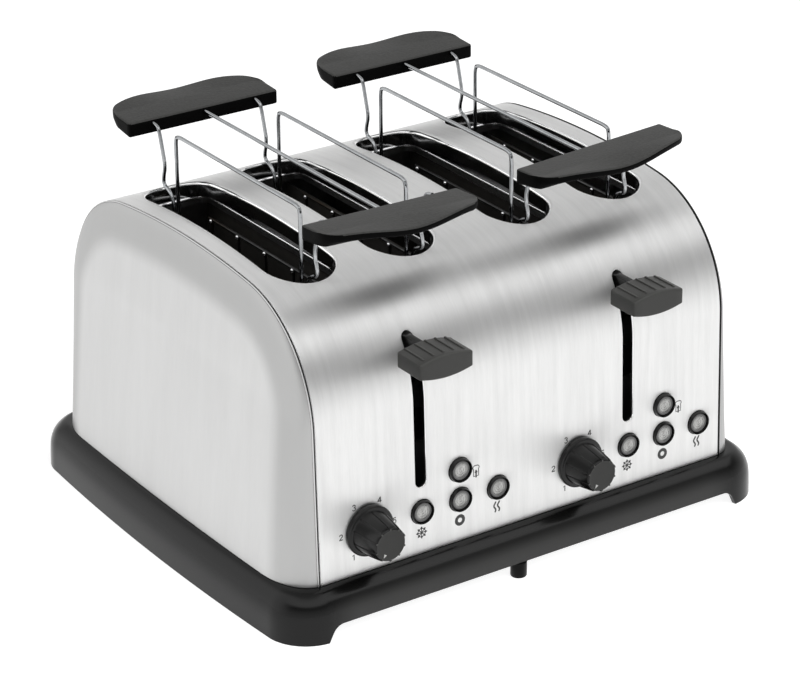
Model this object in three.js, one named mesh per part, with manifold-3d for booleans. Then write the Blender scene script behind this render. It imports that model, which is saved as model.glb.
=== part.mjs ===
// A four-slot toaster: a brushed steel wrap between two pressed end panels, on a black moulded plinth.
// Two side-by-side pairs of slots each have a lever, a browning dial, four buttons, a crumb tray and a
// lift-off warming rack. Millimetres, +X to the right seen from the front, +Y to the back, +Z up,
// origin on the table under the middle of the plinth.
import * as THREE from "three";
import { mergeVertices } from "three/addons/utils/BufferGeometryUtils.js";
import Module from "manifold-3d";

const wasm = await Module();
wasm.setup();

// Clearances and facets
const gap = 0.3;
const slidingGap = 0.3;
const overrun = 4;
const cornerSteps = 6;
const roundSteps = 16;
const smallRoundSteps = 10;
const wireSides = 6;

// Slots and chambers
const innerSlotX = 39.5;
const outerSlotX = 103.4;
const slotHalfWidth = 20.5;
const slotHalfLength = 81.5;
const slotSideMargin = 13.2;
const collarDepth = 9;
const chamberHalfWidth = 25;
const chamberEndInset = 4.5;
const chamberCornerRadius = 5;
const chamberLipHeight = 2.8;
const topPlateDepth = 20.1;
const topPlateOverhang = 2;
const bulkheadEndSpace = 6.5;
const bulkheadSideSpace = 3.6;

// Arched body section, shared by the wrap, the end panels and the plates inside
const bodyHalfDepth = 131.5;
const bodyHeight = 187.3;
const wallLean = 0.03;
const archCornerRadius = 68.6;
const crownRadius = 574.7;
const archCornerSteps = 9;
const crownSteps = 3;
const sheetThickness = 1.2;
const seamHalfWidth = outerSlotX + slotHalfWidth + slotSideMargin;
const seamGap = 0.6;

// End panels
const panelBorderDepth = 16.8;
const panelBorderWidth = 30;
const panelCrown = 2.8;
const panelTaperShare = 0.75;
const panelInsetShares = [0, 0.03, 0.11, 0.25, 0.45, 0.7, 1, 1.6, 2.2];

// Plinth
const baseSideReach = 26.9;
const baseDepthReach = 13.5;
const baseSideBow = 4;
const baseCornerRadius = 29;
const baseHeight = 27.2;
const baseWall = 3;
const baseShoulder = 10.4;
const baseSideSteps = 6;
const baseHalfWidth = seamHalfWidth + baseSideReach;
const baseHalfDepth = bodyHalfDepth + baseDepthReach;
const deckSideInset = 13.1;
const deckEndInset = 4;
const deckCornerRadius = 6;
const cornerFootWidth = 33;
const skirtRise = 9.4;
const skirtStepWidth = 8;
const skirtHalfWidth = baseHalfWidth - cornerFootWidth;
const shoulderHeightShares = [0, 0.33, 0.62, 0.81, 0.92, 0.98, 1];
const shoulderInsetShares = [0, 0.15, 0.33, 0.5, 0.69, 0.85, 1];

// Bottom plate and the middle foot
const plateThickness = 1.2;
const bottomPlateHeight = 10.2;
const ventLength = 32;
const ventWidth = 5;
const ventPitch = 24;
const ventCount = 5;
const footRadius = 4.7;
const footOffset = -13;
const footInset = 3.6;
const footRounding = 2;

// Chamber ends and tops, worked out from the slots
const chamberHalfLength = slotHalfLength - chamberEndInset;
const topPlateHeight = bodyHeight - topPlateDepth;
const bulkheadY = slotHalfLength + bulkheadEndSpace;
const deckHalfWidth = seamHalfWidth - deckSideInset;
const deckHalfDepth = bulkheadY - deckEndInset;

// Heater boards
const heaterThickness = 1;
const heaterBottom = 42;
const heaterTopSpace = 5.2;
const heaterOffset = 22;
const heaterTop = topPlateHeight - heaterTopSpace;
const bulkheadHalfWidth = outerSlotX + heaterOffset + bulkheadSideSpace;
const topPlateHalfWidth = bulkheadHalfWidth + topPlateOverhang;

// Bread guides
const guideOffset = 17.5;
const guideRailRadius = 1;
const guideWireRadius = 0.85;
const guideWirePitch = 29;
const guideWireCount = 5;
const guideEndReach = 3;
const guidePivotHeight = 37;
const guideTopSpace = 2.2;
const guideTop = topPlateHeight - guideTopSpace;
const guideMiddleShare = 0.5;

// Controls on the front
const controlX = 70.65;
const controlHeight = 52.6;
const upperButtonRise = 18;
const buttonPitch = 25.3;
const buttonRadius = 7.1;
const buttonProud = 2.4;
const buttonLensRadius = 5.4;
const buttonLensStep = 0.5;
const buttonCapDepth = 8.6;
const buttonStemRadius = 3;
const buttonStemLength = 9;
const buttonTravel = 1.8;
const upperButtonHeight = controlHeight + upperButtonRise;
const dialOffset = -35.2;
const dialSkirtRadius = 14.8;
const dialSkirtDepth = 3.2;
const dialBodyRadius = 12.2;
const dialFaceRadius = 9.4;
const dialDepth = 21.6;
const dialStandOff = 0.6;
const dialShaftRadius = 3;
const dialShaftLength = 14;
const dialFluteCount = 12;
const dialFluteDepth = 0.7;

// Housing that carries the buttons and the dial's potentiometer
const housingSetback = 20.8;
const housingThickness = 2;
const housingEndMargin = 11.4;
const housingTopMargin = 13.4;
const housingTubeWall = 2.2;
const potentiometerHalfSize = 9;
const potentiometerDepth = 9;
const potentiometerBushRadius = 5;
const potentiometerBushLength = 6;
const housingY = -bodyHalfDepth + housingSetback;
const housingLeft = dialOffset - dialSkirtRadius;
const housingRight = 2 * buttonPitch + housingEndMargin;
const housingTop = upperButtonHeight + housingTopMargin;

// Levers and carriages
const leverTravel = 72;
const leverKnobDrop = 36.8;
const leverKnobHalfWidth = 17;
const leverKnobDepth = 22;
const leverKnobReach = 23.7;
const leverKnobSideHeight = 6.6;
const leverKnobRise = 3.7;
const leverRibCount = 5;
const leverRibPitch = 6.4;
const leverRibWidth = 1.1;
const leverRibHeight = 0.8;
const leverKnobHeight = bodyHeight - leverKnobDrop;
const leverKnobFront = bodyHalfDepth + leverKnobReach;
const stemHalfWidth = 2.5;
const stemHeight = 9;
const stemRise = 3;
const stemTop = leverKnobHeight + stemRise;
const leverSlotHalfWidth = 3.4;
const leverSlotHeadroom = 1.5;
const leverSlotFootroom = 5.2;
const leverSlotTop = stemTop + leverSlotHeadroom;
const leverSlotBottom = stemTop - stemHeight - leverTravel - leverSlotFootroom;
const carriageSetback = 28.5;
const carriageThickness = 1.5;
const carriageReach = 12.05;
const carriageBarHeight = 17;
const carriageNeckHalfWidth = 8;
const carriageY = -bodyHalfDepth + carriageSetback;
const carriageHalfWidth = (outerSlotX - innerSlotX) / 2 + carriageReach;
const guideRodRadius = 3;
const guideRodSetback = 7.5;
const guideRodTopSpace = 7.2;
const guideRodY = carriageY + guideRodSetback;
const guideRodTop = topPlateHeight - guideRodTopSpace;
const carriageBossWall = 2.7;
const breadRestHalfWidth = 2.5;
const breadRestHeight = 6;
const breadRestEndSpace = 8;
const breadRestNotchCount = 6;
const breadRestNotchDepth = 2.5;
const breadRestNotchWidth = 4;
const breadRestRear = bulkheadY - breadRestEndSpace;
const restWaySideSpace = 2;
const restWayEndSpace = 3;

// Crumb trays
const trayReachPastSlot = 24.05;
const trayWall = 1;
const trayHeight = 10.4;
const trayFrontInset = 27.5;
const trayRearInset = 4.5;
const trayPullHalfWidth = 18;
const trayPullThickness = 1.6;
const trayHalfWidth = (outerSlotX - innerSlotX) / 2 + trayReachPastSlot;
const trayFront = -bodyHalfDepth + trayFrontInset;
const trayRear = baseHalfDepth - trayRearInset;
const trayPullReach = leverKnobFront;

// Cord gland at the back
const glandX = 0;
const glandHeight = 46;
const glandRadius = 7;
const glandFlangeRadius = 10;
const glandFlangeDepth = 3;
const glandLength = 12;
const glandBoreRadius = 3.8;

// Lift-off warming racks: insets from the slots' ends, and heights over and under the body's top
const rackX = 69.4;
const rackWireRadius = 1.15;
const rackWireSpread = 34;
const rackLift = 29.7;
const rackArmInset = 16.1;
const rackFootDepth = 37.3;
const rackLegInset = 11.5;
const rackLegTopDepth = 17.8;
const rackHookInset = 0.6;
const rackHookDepth = 0.8;
const rackSeatClearance = 1.5;
const rackElbowInset = 4.7;
const rackElbowDrop = 1;
const rackKneeInset = 9.5;
const rackKneeDrop = 4.4;
const rackWaistInset = 2.9;
const rackWaistLift = 6.3;
const rackShoulderReach = 2.7;
const handleReach = 9.5;
const handleLift = 31.9;
const handleHalfLength = 49.5;
const handleThickness = 8.8;
const handleWireDepth = 2.7;
const handleFlatWidth = 19.5;
const handleEndWidth = 23.4;
const handleBow = 13.3;
const handleCornerRadius = 8;
const handleLipThickness = 4;
const handleRise = 1.6;
const handleUndersideRise = 2;
const leftHandleDrop = 1.8;
const rightHandleLift = 4.9;
const handleStationShares = [-1, -0.985, -0.94, -0.85, -0.68, -0.45, -0.2, 0, 0.2, 0.45, 0.68, 0.85, 0.94, 0.985, 1];
const lipWaveShare = 0.75;
const handleY = slotHalfLength + handleReach;
const handleTop = bodyHeight + handleLift;
const rackTop = bodyHeight + rackLift;
const rackEntryHeight = handleTop - handleWireDepth;

// Colours
const blackPlastic = new THREE.MeshStandardMaterial({ color: 0x2b2b2a, roughness: 0.55 });
const greyPlastic = new THREE.MeshStandardMaterial({ color: 0x4a4a48, roughness: 0.6 });
const brushedSteel = new THREE.MeshStandardMaterial({ color: 0xc8c9c9, roughness: 0.35, metalness: 1 });
const satinSteel = new THREE.MeshStandardMaterial({ color: 0xd4d5d5, roughness: 0.45, metalness: 1 });
const plainSteel = new THREE.MeshStandardMaterial({ color: 0x8f9294, roughness: 0.5, metalness: 1 });
const chromeWire = new THREE.MeshStandardMaterial({ color: 0xe2e4e6, roughness: 0.12, metalness: 1 });
const mica = new THREE.MeshStandardMaterial({ color: 0x9a8b6c, roughness: 0.8 });
const lens = new THREE.MeshStandardMaterial({ color: 0x6d6d6a, roughness: 0.3 });

const toaster = new THREE.Group();

function addPiece(name, geometry, material) {
  geometry.deleteAttribute("uv");
  geometry.deleteAttribute("normal");
  geometry.computeVertexNormals();
  const mesh = new THREE.Mesh(geometry, material);
  mesh.name = name;
  toaster.add(mesh);
  return mesh;
}

// Solids and booleans
function toSolid(geometry) {
  const plain = geometry.clone();
  plain.deleteAttribute("uv");
  plain.deleteAttribute("normal");
  const merged = mergeVertices(plain);
  return new wasm.Manifold(new wasm.Mesh({
    numProp: 3,
    vertProperties: new Float32Array(merged.attributes.position.array),
    triVerts: new Uint32Array(merged.index.array),
  }));
}

function toGeometry(solid) {
  const mesh = solid.getMesh();
  const geometry = new THREE.BufferGeometry();
  geometry.setAttribute("position", new THREE.BufferAttribute(mesh.vertProperties, mesh.numProp));
  geometry.setIndex(new THREE.BufferAttribute(mesh.triVerts, 1));
  return geometry;
}

function joined(solids) {
  return solids.reduce((sum, next) => sum.add(next));
}

function cut(solid, tools) {
  return tools.reduce((rest, tool) => rest.subtract(tool), solid);
}

// A box from its lowest to its highest corner
function boxSolid(low, high) {
  const size = high.map((value, axis) => value - low[axis]);
  const middle = high.map((value, axis) => (value + low[axis]) / 2);
  return toSolid(new THREE.BoxGeometry(...size).translate(...middle));
}

// A round bar along Y from its front to its back end
function barAlongY(radius, x, front, back, z, sides) {
  const bar = new THREE.CylinderGeometry(radius, radius, back - front, sides);
  return toSolid(bar.translate(x, (front + back) / 2, z));
}

function barAlongZ(radius, x, y, bottom, top, sides) {
  const bar = new THREE.CylinderGeometry(radius, radius, top - bottom, sides);
  bar.rotateX(Math.PI / 2);
  return toSolid(bar.translate(x, y, (bottom + top) / 2));
}

// An outline in X and Y, raised from bottom to top
function raised(shape, bottom, top, steps) {
  const options = { depth: top - bottom, bevelEnabled: false, curveSegments: steps };
  return new THREE.ExtrudeGeometry(shape, options).translate(0, 0, bottom);
}

// An outline drawn in X and Z, pushed from back to front along Y
function pushed(shape, front, back, steps) {
  const options = { depth: back - front, bevelEnabled: false, curveSegments: steps };
  return new THREE.ExtrudeGeometry(shape, options).rotateX(Math.PI / 2).translate(0, back, 0);
}

function outline(points) {
  return new THREE.Shape(points.map(([x, y]) => new THREE.Vector2(x, y)));
}

// A round-ended slot with its middle at x, y
function stadium(x, y, halfWidth, halfLength) {
  const straight = halfLength - halfWidth;
  const shape = new THREE.Shape();
  shape.moveTo(x + halfWidth, y - straight);
  shape.lineTo(x + halfWidth, y + straight);
  shape.absarc(x, y + straight, halfWidth, 0, Math.PI, false);
  shape.lineTo(x - halfWidth, y - straight);
  shape.absarc(x, y - straight, halfWidth, Math.PI, 2 * Math.PI, false);
  return shape;
}

// A skin over rings of points: closed into a loop of rings, or capped at its two ends
function skin(rings, looped) {
  const count = rings[0].length;
  const positions = rings.flat().flatMap((point) => [point.x, point.y, point.z]);
  const faces = [];
  const spans = looped ? rings.length : rings.length - 1;
  for (let ring = 0; ring < spans; ring += 1) {
    const next = (ring + 1) % rings.length;
    for (let side = 0; side < count; side += 1) {
      const turn = (side + 1) % count;
      const a = ring * count + side;
      const b = ring * count + turn;
      const c = next * count + turn;
      const d = next * count + side;
      faces.push(a, b, c, a, c, d);
    }
  }
  if (!looped) {
    const last = (rings.length - 1) * count;
    for (let side = 1; side < count - 1; side += 1) {
      faces.push(0, side + 1, side, last, last + side, last + side + 1);
    }
  }
  const geometry = new THREE.BufferGeometry();
  geometry.setAttribute("position", new THREE.Float32BufferAttribute(positions, 3));
  geometry.setIndex(faces);
  return geometry;
}

// A rounded rectangle whose left and right sides bow out, as a ring at height z
function planRing(halfX, halfY, radius, bow, z) {
  const ring = [];
  const corners = [[1, -1, -0.5], [1, 1, 0], [-1, 1, 0.5], [-1, -1, 1]];
  corners.forEach(([signX, signY, startTurn], index) => {
    const centreX = signX * (halfX - radius);
    const centreY = signY * (halfY - radius);
    for (let step = 0; step <= cornerSteps; step += 1) {
      const angle = Math.PI * (startTurn + step / cornerSteps / 2);
      ring.push(new THREE.Vector3(centreX + radius * Math.cos(angle), centreY + radius * Math.sin(angle), z));
    }
    if (index % 2 === 0) {
      for (let step = 1; step < baseSideSteps; step += 1) {
        const along = 2 * step / baseSideSteps - 1;
        const reach = halfX + bow * (1 - along * along);
        ring.push(new THREE.Vector3(signX * reach, signX * along * (halfY - radius), z));
      }
    }
  });
  return ring;
}

// The arched body section
const leanLength = Math.hypot(1, wallLean);
const crownCentreZ = bodyHeight - crownRadius;

function archCornerCentre() {
  const offset = archCornerRadius * leanLength - bodyHalfDepth - wallLean * baseHeight;
  const a = 1 + wallLean * wallLean;
  const b = 2 * (offset * wallLean - crownCentreZ);
  const c = offset * offset + crownCentreZ * crownCentreZ - (crownRadius - archCornerRadius) ** 2;
  const z = (-b + Math.sqrt(b * b - 4 * a * c)) / (2 * a);
  return { y: offset + wallLean * z, z };
}

const archCorner = archCornerCentre();
const archCornerStart = Math.atan2(wallLean, -1);
const archCornerEnd = Math.atan2(archCorner.z - crownCentreZ, archCorner.y);

// Points in Y and Z from the front foot over the top to the back foot, inset from the outer face
function archPoints(inset, bottom) {
  const half = [];
  const wallY = -bodyHalfDepth + inset * leanLength + wallLean * (bottom - baseHeight);
  half.push([wallY, bottom]);
  for (let step = 0; step <= archCornerSteps; step += 1) {
    const angle = archCornerStart + (archCornerEnd - archCornerStart) * step / archCornerSteps;
    const radius = archCornerRadius - inset;
    half.push([archCorner.y + radius * Math.cos(angle), archCorner.z + radius * Math.sin(angle)]);
  }
  for (let step = 1; step <= crownSteps; step += 1) {
    const angle = archCornerEnd + (Math.PI / 2 - archCornerEnd) * step / crownSteps;
    const radius = crownRadius - inset;
    half.push([radius * Math.cos(angle), crownCentreZ + radius * Math.sin(angle)]);
  }
  const rest = half.slice(0, -1).reverse().map(([y, z]) => [-y, z]);
  return [...half, ...rest];
}

function archRing(inset, bottom, x) {
  return archPoints(inset, bottom).map(([y, z]) => new THREE.Vector3(x, y, z));
}

// The solid under the arch, between two values of x
function archSolid(inset, bottom, left, right) {
  return toSolid(skin([archRing(inset, bottom, right), archRing(inset, bottom, left)], false));
}

// The outer wall's Y at a height, for what is set in the front
function frontWallY(z) {
  return -bodyHalfDepth + wallLean * (z - baseHeight);
}

const shellBottom = baseHeight + gap;
const sides = [["left", -1], ["right", 1]];
const slotCentres = [
  ["left_outer", -outerSlotX, -1],
  ["left_inner", -innerSlotX, -1],
  ["right_inner", innerSlotX, 1],
  ["right_outer", outerSlotX, 1],
];
const trayX = (innerSlotX + outerSlotX) / 2;
const bottomPlateTop = bottomPlateHeight + plateThickness;
const trayBottom = bottomPlateTop + gap;

// The plinth: a moulded skirt with a deck, raised between its corner feet at the front and the back
function shoulderInset(z) {
  const share = z / baseHeight;
  const last = shoulderHeightShares.length - 1;
  for (let step = 1; step <= last; step += 1) {
    if (share <= shoulderHeightShares[step]) {
      const span = shoulderHeightShares[step] - shoulderHeightShares[step - 1];
      const part = (share - shoulderHeightShares[step - 1]) / span;
      const rise = shoulderInsetShares[step] - shoulderInsetShares[step - 1];
      return baseShoulder * (shoulderInsetShares[step - 1] + part * rise);
    }
  }
  return baseShoulder;
}

function baseRing(inset, z) {
  return planRing(baseHalfWidth - inset, baseHalfDepth - inset, baseCornerRadius - inset, baseSideBow, z);
}

const deckUnderside = baseHeight - baseWall;
const skirtInnerTopInset = shoulderInset(deckUnderside) + baseWall;

function skirtInnerInset(z) {
  return baseWall + (skirtInnerTopInset - baseWall) * z / deckUnderside;
}

function makePlinth() {
  const rings = shoulderHeightShares.map((share) => {
    const z = baseHeight * share;
    return baseRing(shoulderInset(z), z);
  });
  rings.push(planRing(deckHalfWidth, deckHalfDepth, deckCornerRadius, 0, baseHeight));
  rings.push(planRing(deckHalfWidth, deckHalfDepth, deckCornerRadius, 0, deckUnderside));
  rings.push(baseRing(skirtInnerTopInset, deckUnderside));
  rings.push(baseRing(skirtInnerInset(0), 0));
  const archFoot = skirtHalfWidth + skirtStepWidth;
  const underSkirt = outline([
    [-archFoot, -overrun],
    [archFoot, -overrun],
    [archFoot, 0],
    [skirtHalfWidth + skirtStepWidth / 2, skirtRise - skirtStepWidth / 4],
    [skirtHalfWidth, skirtRise],
    [-skirtHalfWidth, skirtRise],
    [-skirtHalfWidth - skirtStepWidth / 2, skirtRise - skirtStepWidth / 4],
    [-archFoot, 0],
  ]);
  const reach = baseHalfDepth + overrun;
  const tools = [toSolid(pushed(underSkirt, -reach, reach, 1))];
  for (const [, sign] of sides) {
    const halfWay = trayHalfWidth + slidingGap;
    const low = [sign * trayX - halfWay, deckHalfDepth + overrun, bottomPlateTop];
    const high = [sign * trayX + halfWay, reach, trayBottom + trayHeight + slidingGap];
    tools.push(boxSolid(low, high));
  }
  return toGeometry(cut(toSolid(skin(rings, true)), tools));
}

addPiece("base_plinth", makePlinth(), blackPlastic);

// The steel plate under the trays, pierced with vents, and the middle foot under it
function makeBottomPlate() {
  const inset = skirtInnerInset(bottomPlateTop) + gap;
  const rings = [baseRing(inset, bottomPlateHeight), baseRing(inset, bottomPlateTop)];
  const vents = [];
  for (const [, sign] of sides) {
    for (let index = 0; index < ventCount; index += 1) {
      const y = (index - (ventCount - 1) / 2) * ventPitch;
      const low = [sign * trayX - ventLength / 2, y - ventWidth / 2, bottomPlateHeight - overrun];
      const high = [sign * trayX + ventLength / 2, y + ventWidth / 2, bottomPlateTop + overrun];
      vents.push(boxSolid(low, high));
    }
  }
  return toGeometry(cut(toSolid(skin(rings, false)), vents));
}

addPiece("bottom_plate", makeBottomPlate(), plainSteel);

function makeCentreFoot() {
  const top = skirtRise - gap;
  const profile = [
    [0, 0],
    [footRadius - footRounding, 0],
    [footRadius, footRounding],
    [footRadius, top],
    [0, top],
  ].map(([x, y]) => new THREE.Vector2(x, y));
  const foot = new THREE.LatheGeometry(profile, smallRoundSteps).rotateX(Math.PI / 2);
  return toGeometry(toSolid(foot)).translate(footOffset, -baseHalfDepth + footInset, 0);
}

addPiece("centre_foot", makeCentreFoot(), blackPlastic);

// The wrap: one brushed sheet over the front, the top and the back, with a rolled collar at each slot
const wrapHalfWidth = seamHalfWidth - seamGap / 2;

function buttonPlaces() {
  return [
    ["defrost", 0, controlHeight],
    ["cancel", buttonPitch, controlHeight],
    ["bun", buttonPitch, upperButtonHeight],
    ["reheat", 2 * buttonPitch, controlHeight],
  ];
}

function makeWrap() {
  const outer = archSolid(0, shellBottom, -wrapHalfWidth, wrapHalfWidth);
  const hollow = archSolid(sheetThickness, shellBottom - overrun, -seamHalfWidth, seamHalfWidth);
  const underCollar = archSolid(collarDepth, 0, -seamHalfWidth, seamHalfWidth);
  let wrap = outer.subtract(hollow);
  const roof = bodyHeight + overrun;
  const floor = topPlateHeight + plateThickness;
  for (const [, x] of slotCentres) {
    const collarShape = stadium(x, 0, slotHalfWidth + sheetThickness, slotHalfLength + sheetThickness);
    const slotShape = stadium(x, 0, slotHalfWidth, slotHalfLength);
    const collar = toSolid(raised(collarShape, floor, roof, cornerSteps * 2));
    wrap = wrap.add(collar.intersect(outer).subtract(underCollar));
    wrap = wrap.subtract(toSolid(raised(slotShape, floor - overrun, roof, cornerSteps * 2)));
  }
  const front = -bodyHalfDepth - overrun;
  const behind = archCorner.y - archCornerRadius / 2;
  for (const [, sign] of sides) {
    const middle = (leverSlotBottom + leverSlotTop) / 2;
    const halfLength = (leverSlotTop - leverSlotBottom) / 2;
    const way = stadium(sign * controlX, middle, leverSlotHalfWidth, halfLength);
    wrap = wrap.subtract(toSolid(pushed(way, front, behind, cornerSteps / 2)));
    for (const [, offset, z] of buttonPlaces()) {
      const x = sign * controlX + offset;
      wrap = wrap.subtract(barAlongY(buttonRadius + slidingGap, x, front, behind, z, roundSteps));
    }
    const dialX = sign * controlX + dialOffset;
    const shaftHole = dialShaftRadius + 2 * slidingGap;
    wrap = wrap.subtract(barAlongY(shaftHole, dialX, front, behind, controlHeight, smallRoundSteps));
  }
  const glandHole = glandRadius + slidingGap;
  const back = bodyHalfDepth + overrun;
  return toGeometry(wrap.subtract(barAlongY(glandHole, glandX, -behind, back, glandHeight, roundSteps)));
}

addPiece("centre_shell", makeWrap(), brushedSteel);

// The end panels: deep pressed pans with a rounded border and a slight crown
function panelReach(inset) {
  const border = Math.min(inset / panelBorderWidth, 1);
  const crown = 1 - (1 - Math.min(inset / bodyHalfDepth, 1)) ** 2;
  return panelBorderDepth * Math.sqrt(1 - (1 - border) ** 2) + panelCrown * crown;
}

// A ring of the panel's outer face, or of its inner face where a wall is given; it leans in to the top
function panelRing(share, wall, bottom) {
  const inset = share * panelBorderWidth;
  const start = seamHalfWidth + seamGap / 2;
  const reach = panelReach(inset);
  const thickness = wall * Math.min(reach / panelReach(panelBorderWidth), 1);
  return archRing(inset + wall, bottom, start).map((point) => {
    const height = (point.z - baseHeight) / (bodyHeight - baseHeight);
    return point.setX(start + reach * (1 - panelTaperShare * height) - thickness);
  });
}

function makePanel(sign) {
  const outerRings = panelInsetShares.map((share) => panelRing(share, 0, shellBottom));
  const innerRings = panelInsetShares.map((share) => panelRing(share, sheetThickness, shellBottom - overrun));
  innerRings.unshift(archRing(sheetThickness, shellBottom - overrun, seamHalfWidth - overrun));
  const pan = toSolid(skin(outerRings.reverse(), false)).subtract(toSolid(skin(innerRings.reverse(), false)));
  return toGeometry(sign > 0 ? pan : pan.mirror([1, 0, 0]));
}

addPiece("left_end_panel", makePanel(-1), satinSteel);
addPiece("right_end_panel", makePanel(1), satinSteel);

// Bulkheads that carry the chambers, with a way for each bread rest through the front one
const bulkheadTop = topPlateHeight - gap;
const restTop = carriageBottom() + carriageBarHeight;

function carriageBottom() {
  return shellBottom + leverTravel + gap;
}

function makeBulkhead(front, back, open) {
  const low = [-bulkheadHalfWidth, front, shellBottom];
  const high = [bulkheadHalfWidth, back, bulkheadTop];
  const tools = [];
  if (open) {
    for (const [, x] of slotCentres) {
      const half = breadRestHalfWidth + restWaySideSpace;
      const wayLow = [x - half, front - overrun, restTop - breadRestHeight - leverTravel - restWayEndSpace];
      const wayHigh = [x + half, back + overrun, restTop + restWayEndSpace];
      tools.push(boxSolid(wayLow, wayHigh));
    }
  }
  return toGeometry(cut(boxSolid(low, high), tools));
}

addPiece("front_bulkhead", makeBulkhead(-bulkheadY - plateThickness, -bulkheadY, true), plainSteel);
addPiece("rear_bulkhead", makeBulkhead(bulkheadY, bulkheadY + plateThickness, false), plainSteel);

// The chamber plate on top of the bulkheads, with an upturned lip round each mouth
function makeTopPlate() {
  const reach = bulkheadY + 2 * plateThickness;
  const low = [-topPlateHalfWidth, -reach, topPlateHeight];
  const high = [topPlateHalfWidth, reach, topPlateHeight + plateThickness];
  let plate = boxSolid(low, high);
  for (const [, x] of slotCentres) {
    const lipTop = topPlateHeight + plateThickness + chamberLipHeight;
    const lipRing = (wall, z) => planRing(chamberHalfWidth + wall, chamberHalfLength + wall,
      chamberCornerRadius + wall, 0, z).map((point) => point.setX(point.x + x));
    const lip = skin([lipRing(plateThickness, topPlateHeight), lipRing(plateThickness, lipTop)], false);
    const mouth = skin([lipRing(0, topPlateHeight - overrun), lipRing(0, lipTop + overrun)], false);
    plate = plate.add(toSolid(lip)).subtract(toSolid(mouth));
  }
  return toGeometry(plate);
}

addPiece("chamber_plate", makeTopPlate(), chromeWire);

// Mica heater boards, one each side of the slots, the middle one of a pair shared
const heaterPlaces = [
  ["left_outer", -outerSlotX - heaterOffset],
  ["left_middle", -trayX],
  ["left_inner", -innerSlotX + heaterOffset],
  ["right_inner", innerSlotX - heaterOffset],
  ["right_middle", trayX],
  ["right_outer", outerSlotX + heaterOffset],
];
for (const [name, x] of heaterPlaces) {
  const low = [x - heaterThickness / 2, -bulkheadY + gap, heaterBottom];
  const high = [x + heaterThickness / 2, bulkheadY - gap, heaterTop];
  addPiece(`${name}_heater_board`, toGeometry(boxSolid(low, high)), mica);
}

// Bread guides: wire grids that swing on their lowest rod
function makeBreadGuide(x) {
  const end = (guideWireCount - 1) / 2 * guideWirePitch + guideEndReach;
  const pivot = bulkheadY - gap;
  const top = guideTop - guideRailRadius;
  const middle = guidePivotHeight + (guideTop - guidePivotHeight) * guideMiddleShare;
  const rods = [
    barAlongY(guideRailRadius, x, -pivot, pivot, guidePivotHeight, wireSides),
    barAlongY(guideRailRadius, x, -end, end, middle, wireSides),
    barAlongY(guideRailRadius, x, -end, end, top, wireSides),
  ];
  for (let index = 0; index < guideWireCount; index += 1) {
    const y = (index - (guideWireCount - 1) / 2) * guideWirePitch;
    rods.push(barAlongZ(guideWireRadius, x, y, guidePivotHeight, top, wireSides));
  }
  return toGeometry(joined(rods));
}

for (const [name, x] of slotCentres) {
  addPiece(`${name}_slot_guide_a`, makeBreadGuide(x - guideOffset), plainSteel);
  addPiece(`${name}_slot_guide_b`, makeBreadGuide(x + guideOffset), plainSteel);
}

// Control housings behind the front, with a tube for each button and a notch for the lever's stem
const housingFront = housingY;
const housingBack = housingY + housingThickness;
const buttonCapFront = frontWallY(controlHeight) - buttonProud;
const buttonCapBack = buttonCapFront + buttonCapDepth;
const buttonStemEnd = buttonCapBack + buttonStemLength;
const tubeFront = buttonCapBack + buttonTravel + gap;

function makeHousing(sign) {
  const middle = sign * controlX;
  const low = [middle + housingLeft, housingFront, shellBottom];
  const high = [middle + housingRight, housingBack, housingTop];
  const tubes = [];
  const bores = [];
  for (const [, offset, z] of buttonPlaces()) {
    const x = middle + offset;
    const bore = buttonStemRadius + slidingGap;
    tubes.push(barAlongY(bore + housingTubeWall, x, tubeFront, housingBack, z, smallRoundSteps));
    bores.push(barAlongY(bore, x, tubeFront - overrun, housingBack + overrun, z, smallRoundSteps));
  }
  const notchBottom = stemTop - stemHeight - leverTravel - housingThickness;
  const notch = boxSolid([middle - leverSlotHalfWidth, housingFront - overrun, notchBottom],
    [middle + leverSlotHalfWidth, housingBack + overrun, housingTop + overrun]);
  return toGeometry(cut(joined([boxSolid(low, high), ...tubes]), [...bores, notch]));
}

// Buttons: a ring with a clear lens, on a stem that slides in the housing
function makeButton(x, z) {
  const cap = barAlongY(buttonRadius, x, buttonCapFront, buttonCapBack, z, roundSteps);
  const dish = buttonCapFront + buttonLensStep;
  const recess = barAlongY(buttonLensRadius, x, buttonCapFront - overrun, dish, z, roundSteps);
  const stem = barAlongY(buttonStemRadius, x, dish, buttonStemEnd, z, smallRoundSteps);
  return toGeometry(cap.subtract(recess).add(stem));
}

// Potentiometer behind each dial, seated on the housing
const dialBack = frontWallY(controlHeight) - dialStandOff;
const dialFront = dialBack - dialDepth;
const dialShaftEnd = dialBack + dialShaftLength;
const potentiometerFront = housingFront - gap - potentiometerDepth;

function makePotentiometer(x) {
  const half = potentiometerHalfSize;
  const low = [x - half, potentiometerFront, controlHeight - half];
  const high = [x + half, housingFront - gap, controlHeight + half];
  const bushFront = potentiometerFront - potentiometerBushLength;
  const bush = barAlongY(potentiometerBushRadius, x, bushFront, potentiometerFront + gap, controlHeight,
    smallRoundSteps);
  const bore = barAlongY(dialShaftRadius + slidingGap, x, bushFront - overrun, dialShaftEnd + gap,
    controlHeight, smallRoundSteps);
  return toGeometry(boxSolid(low, high).add(bush).subtract(bore));
}

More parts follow.
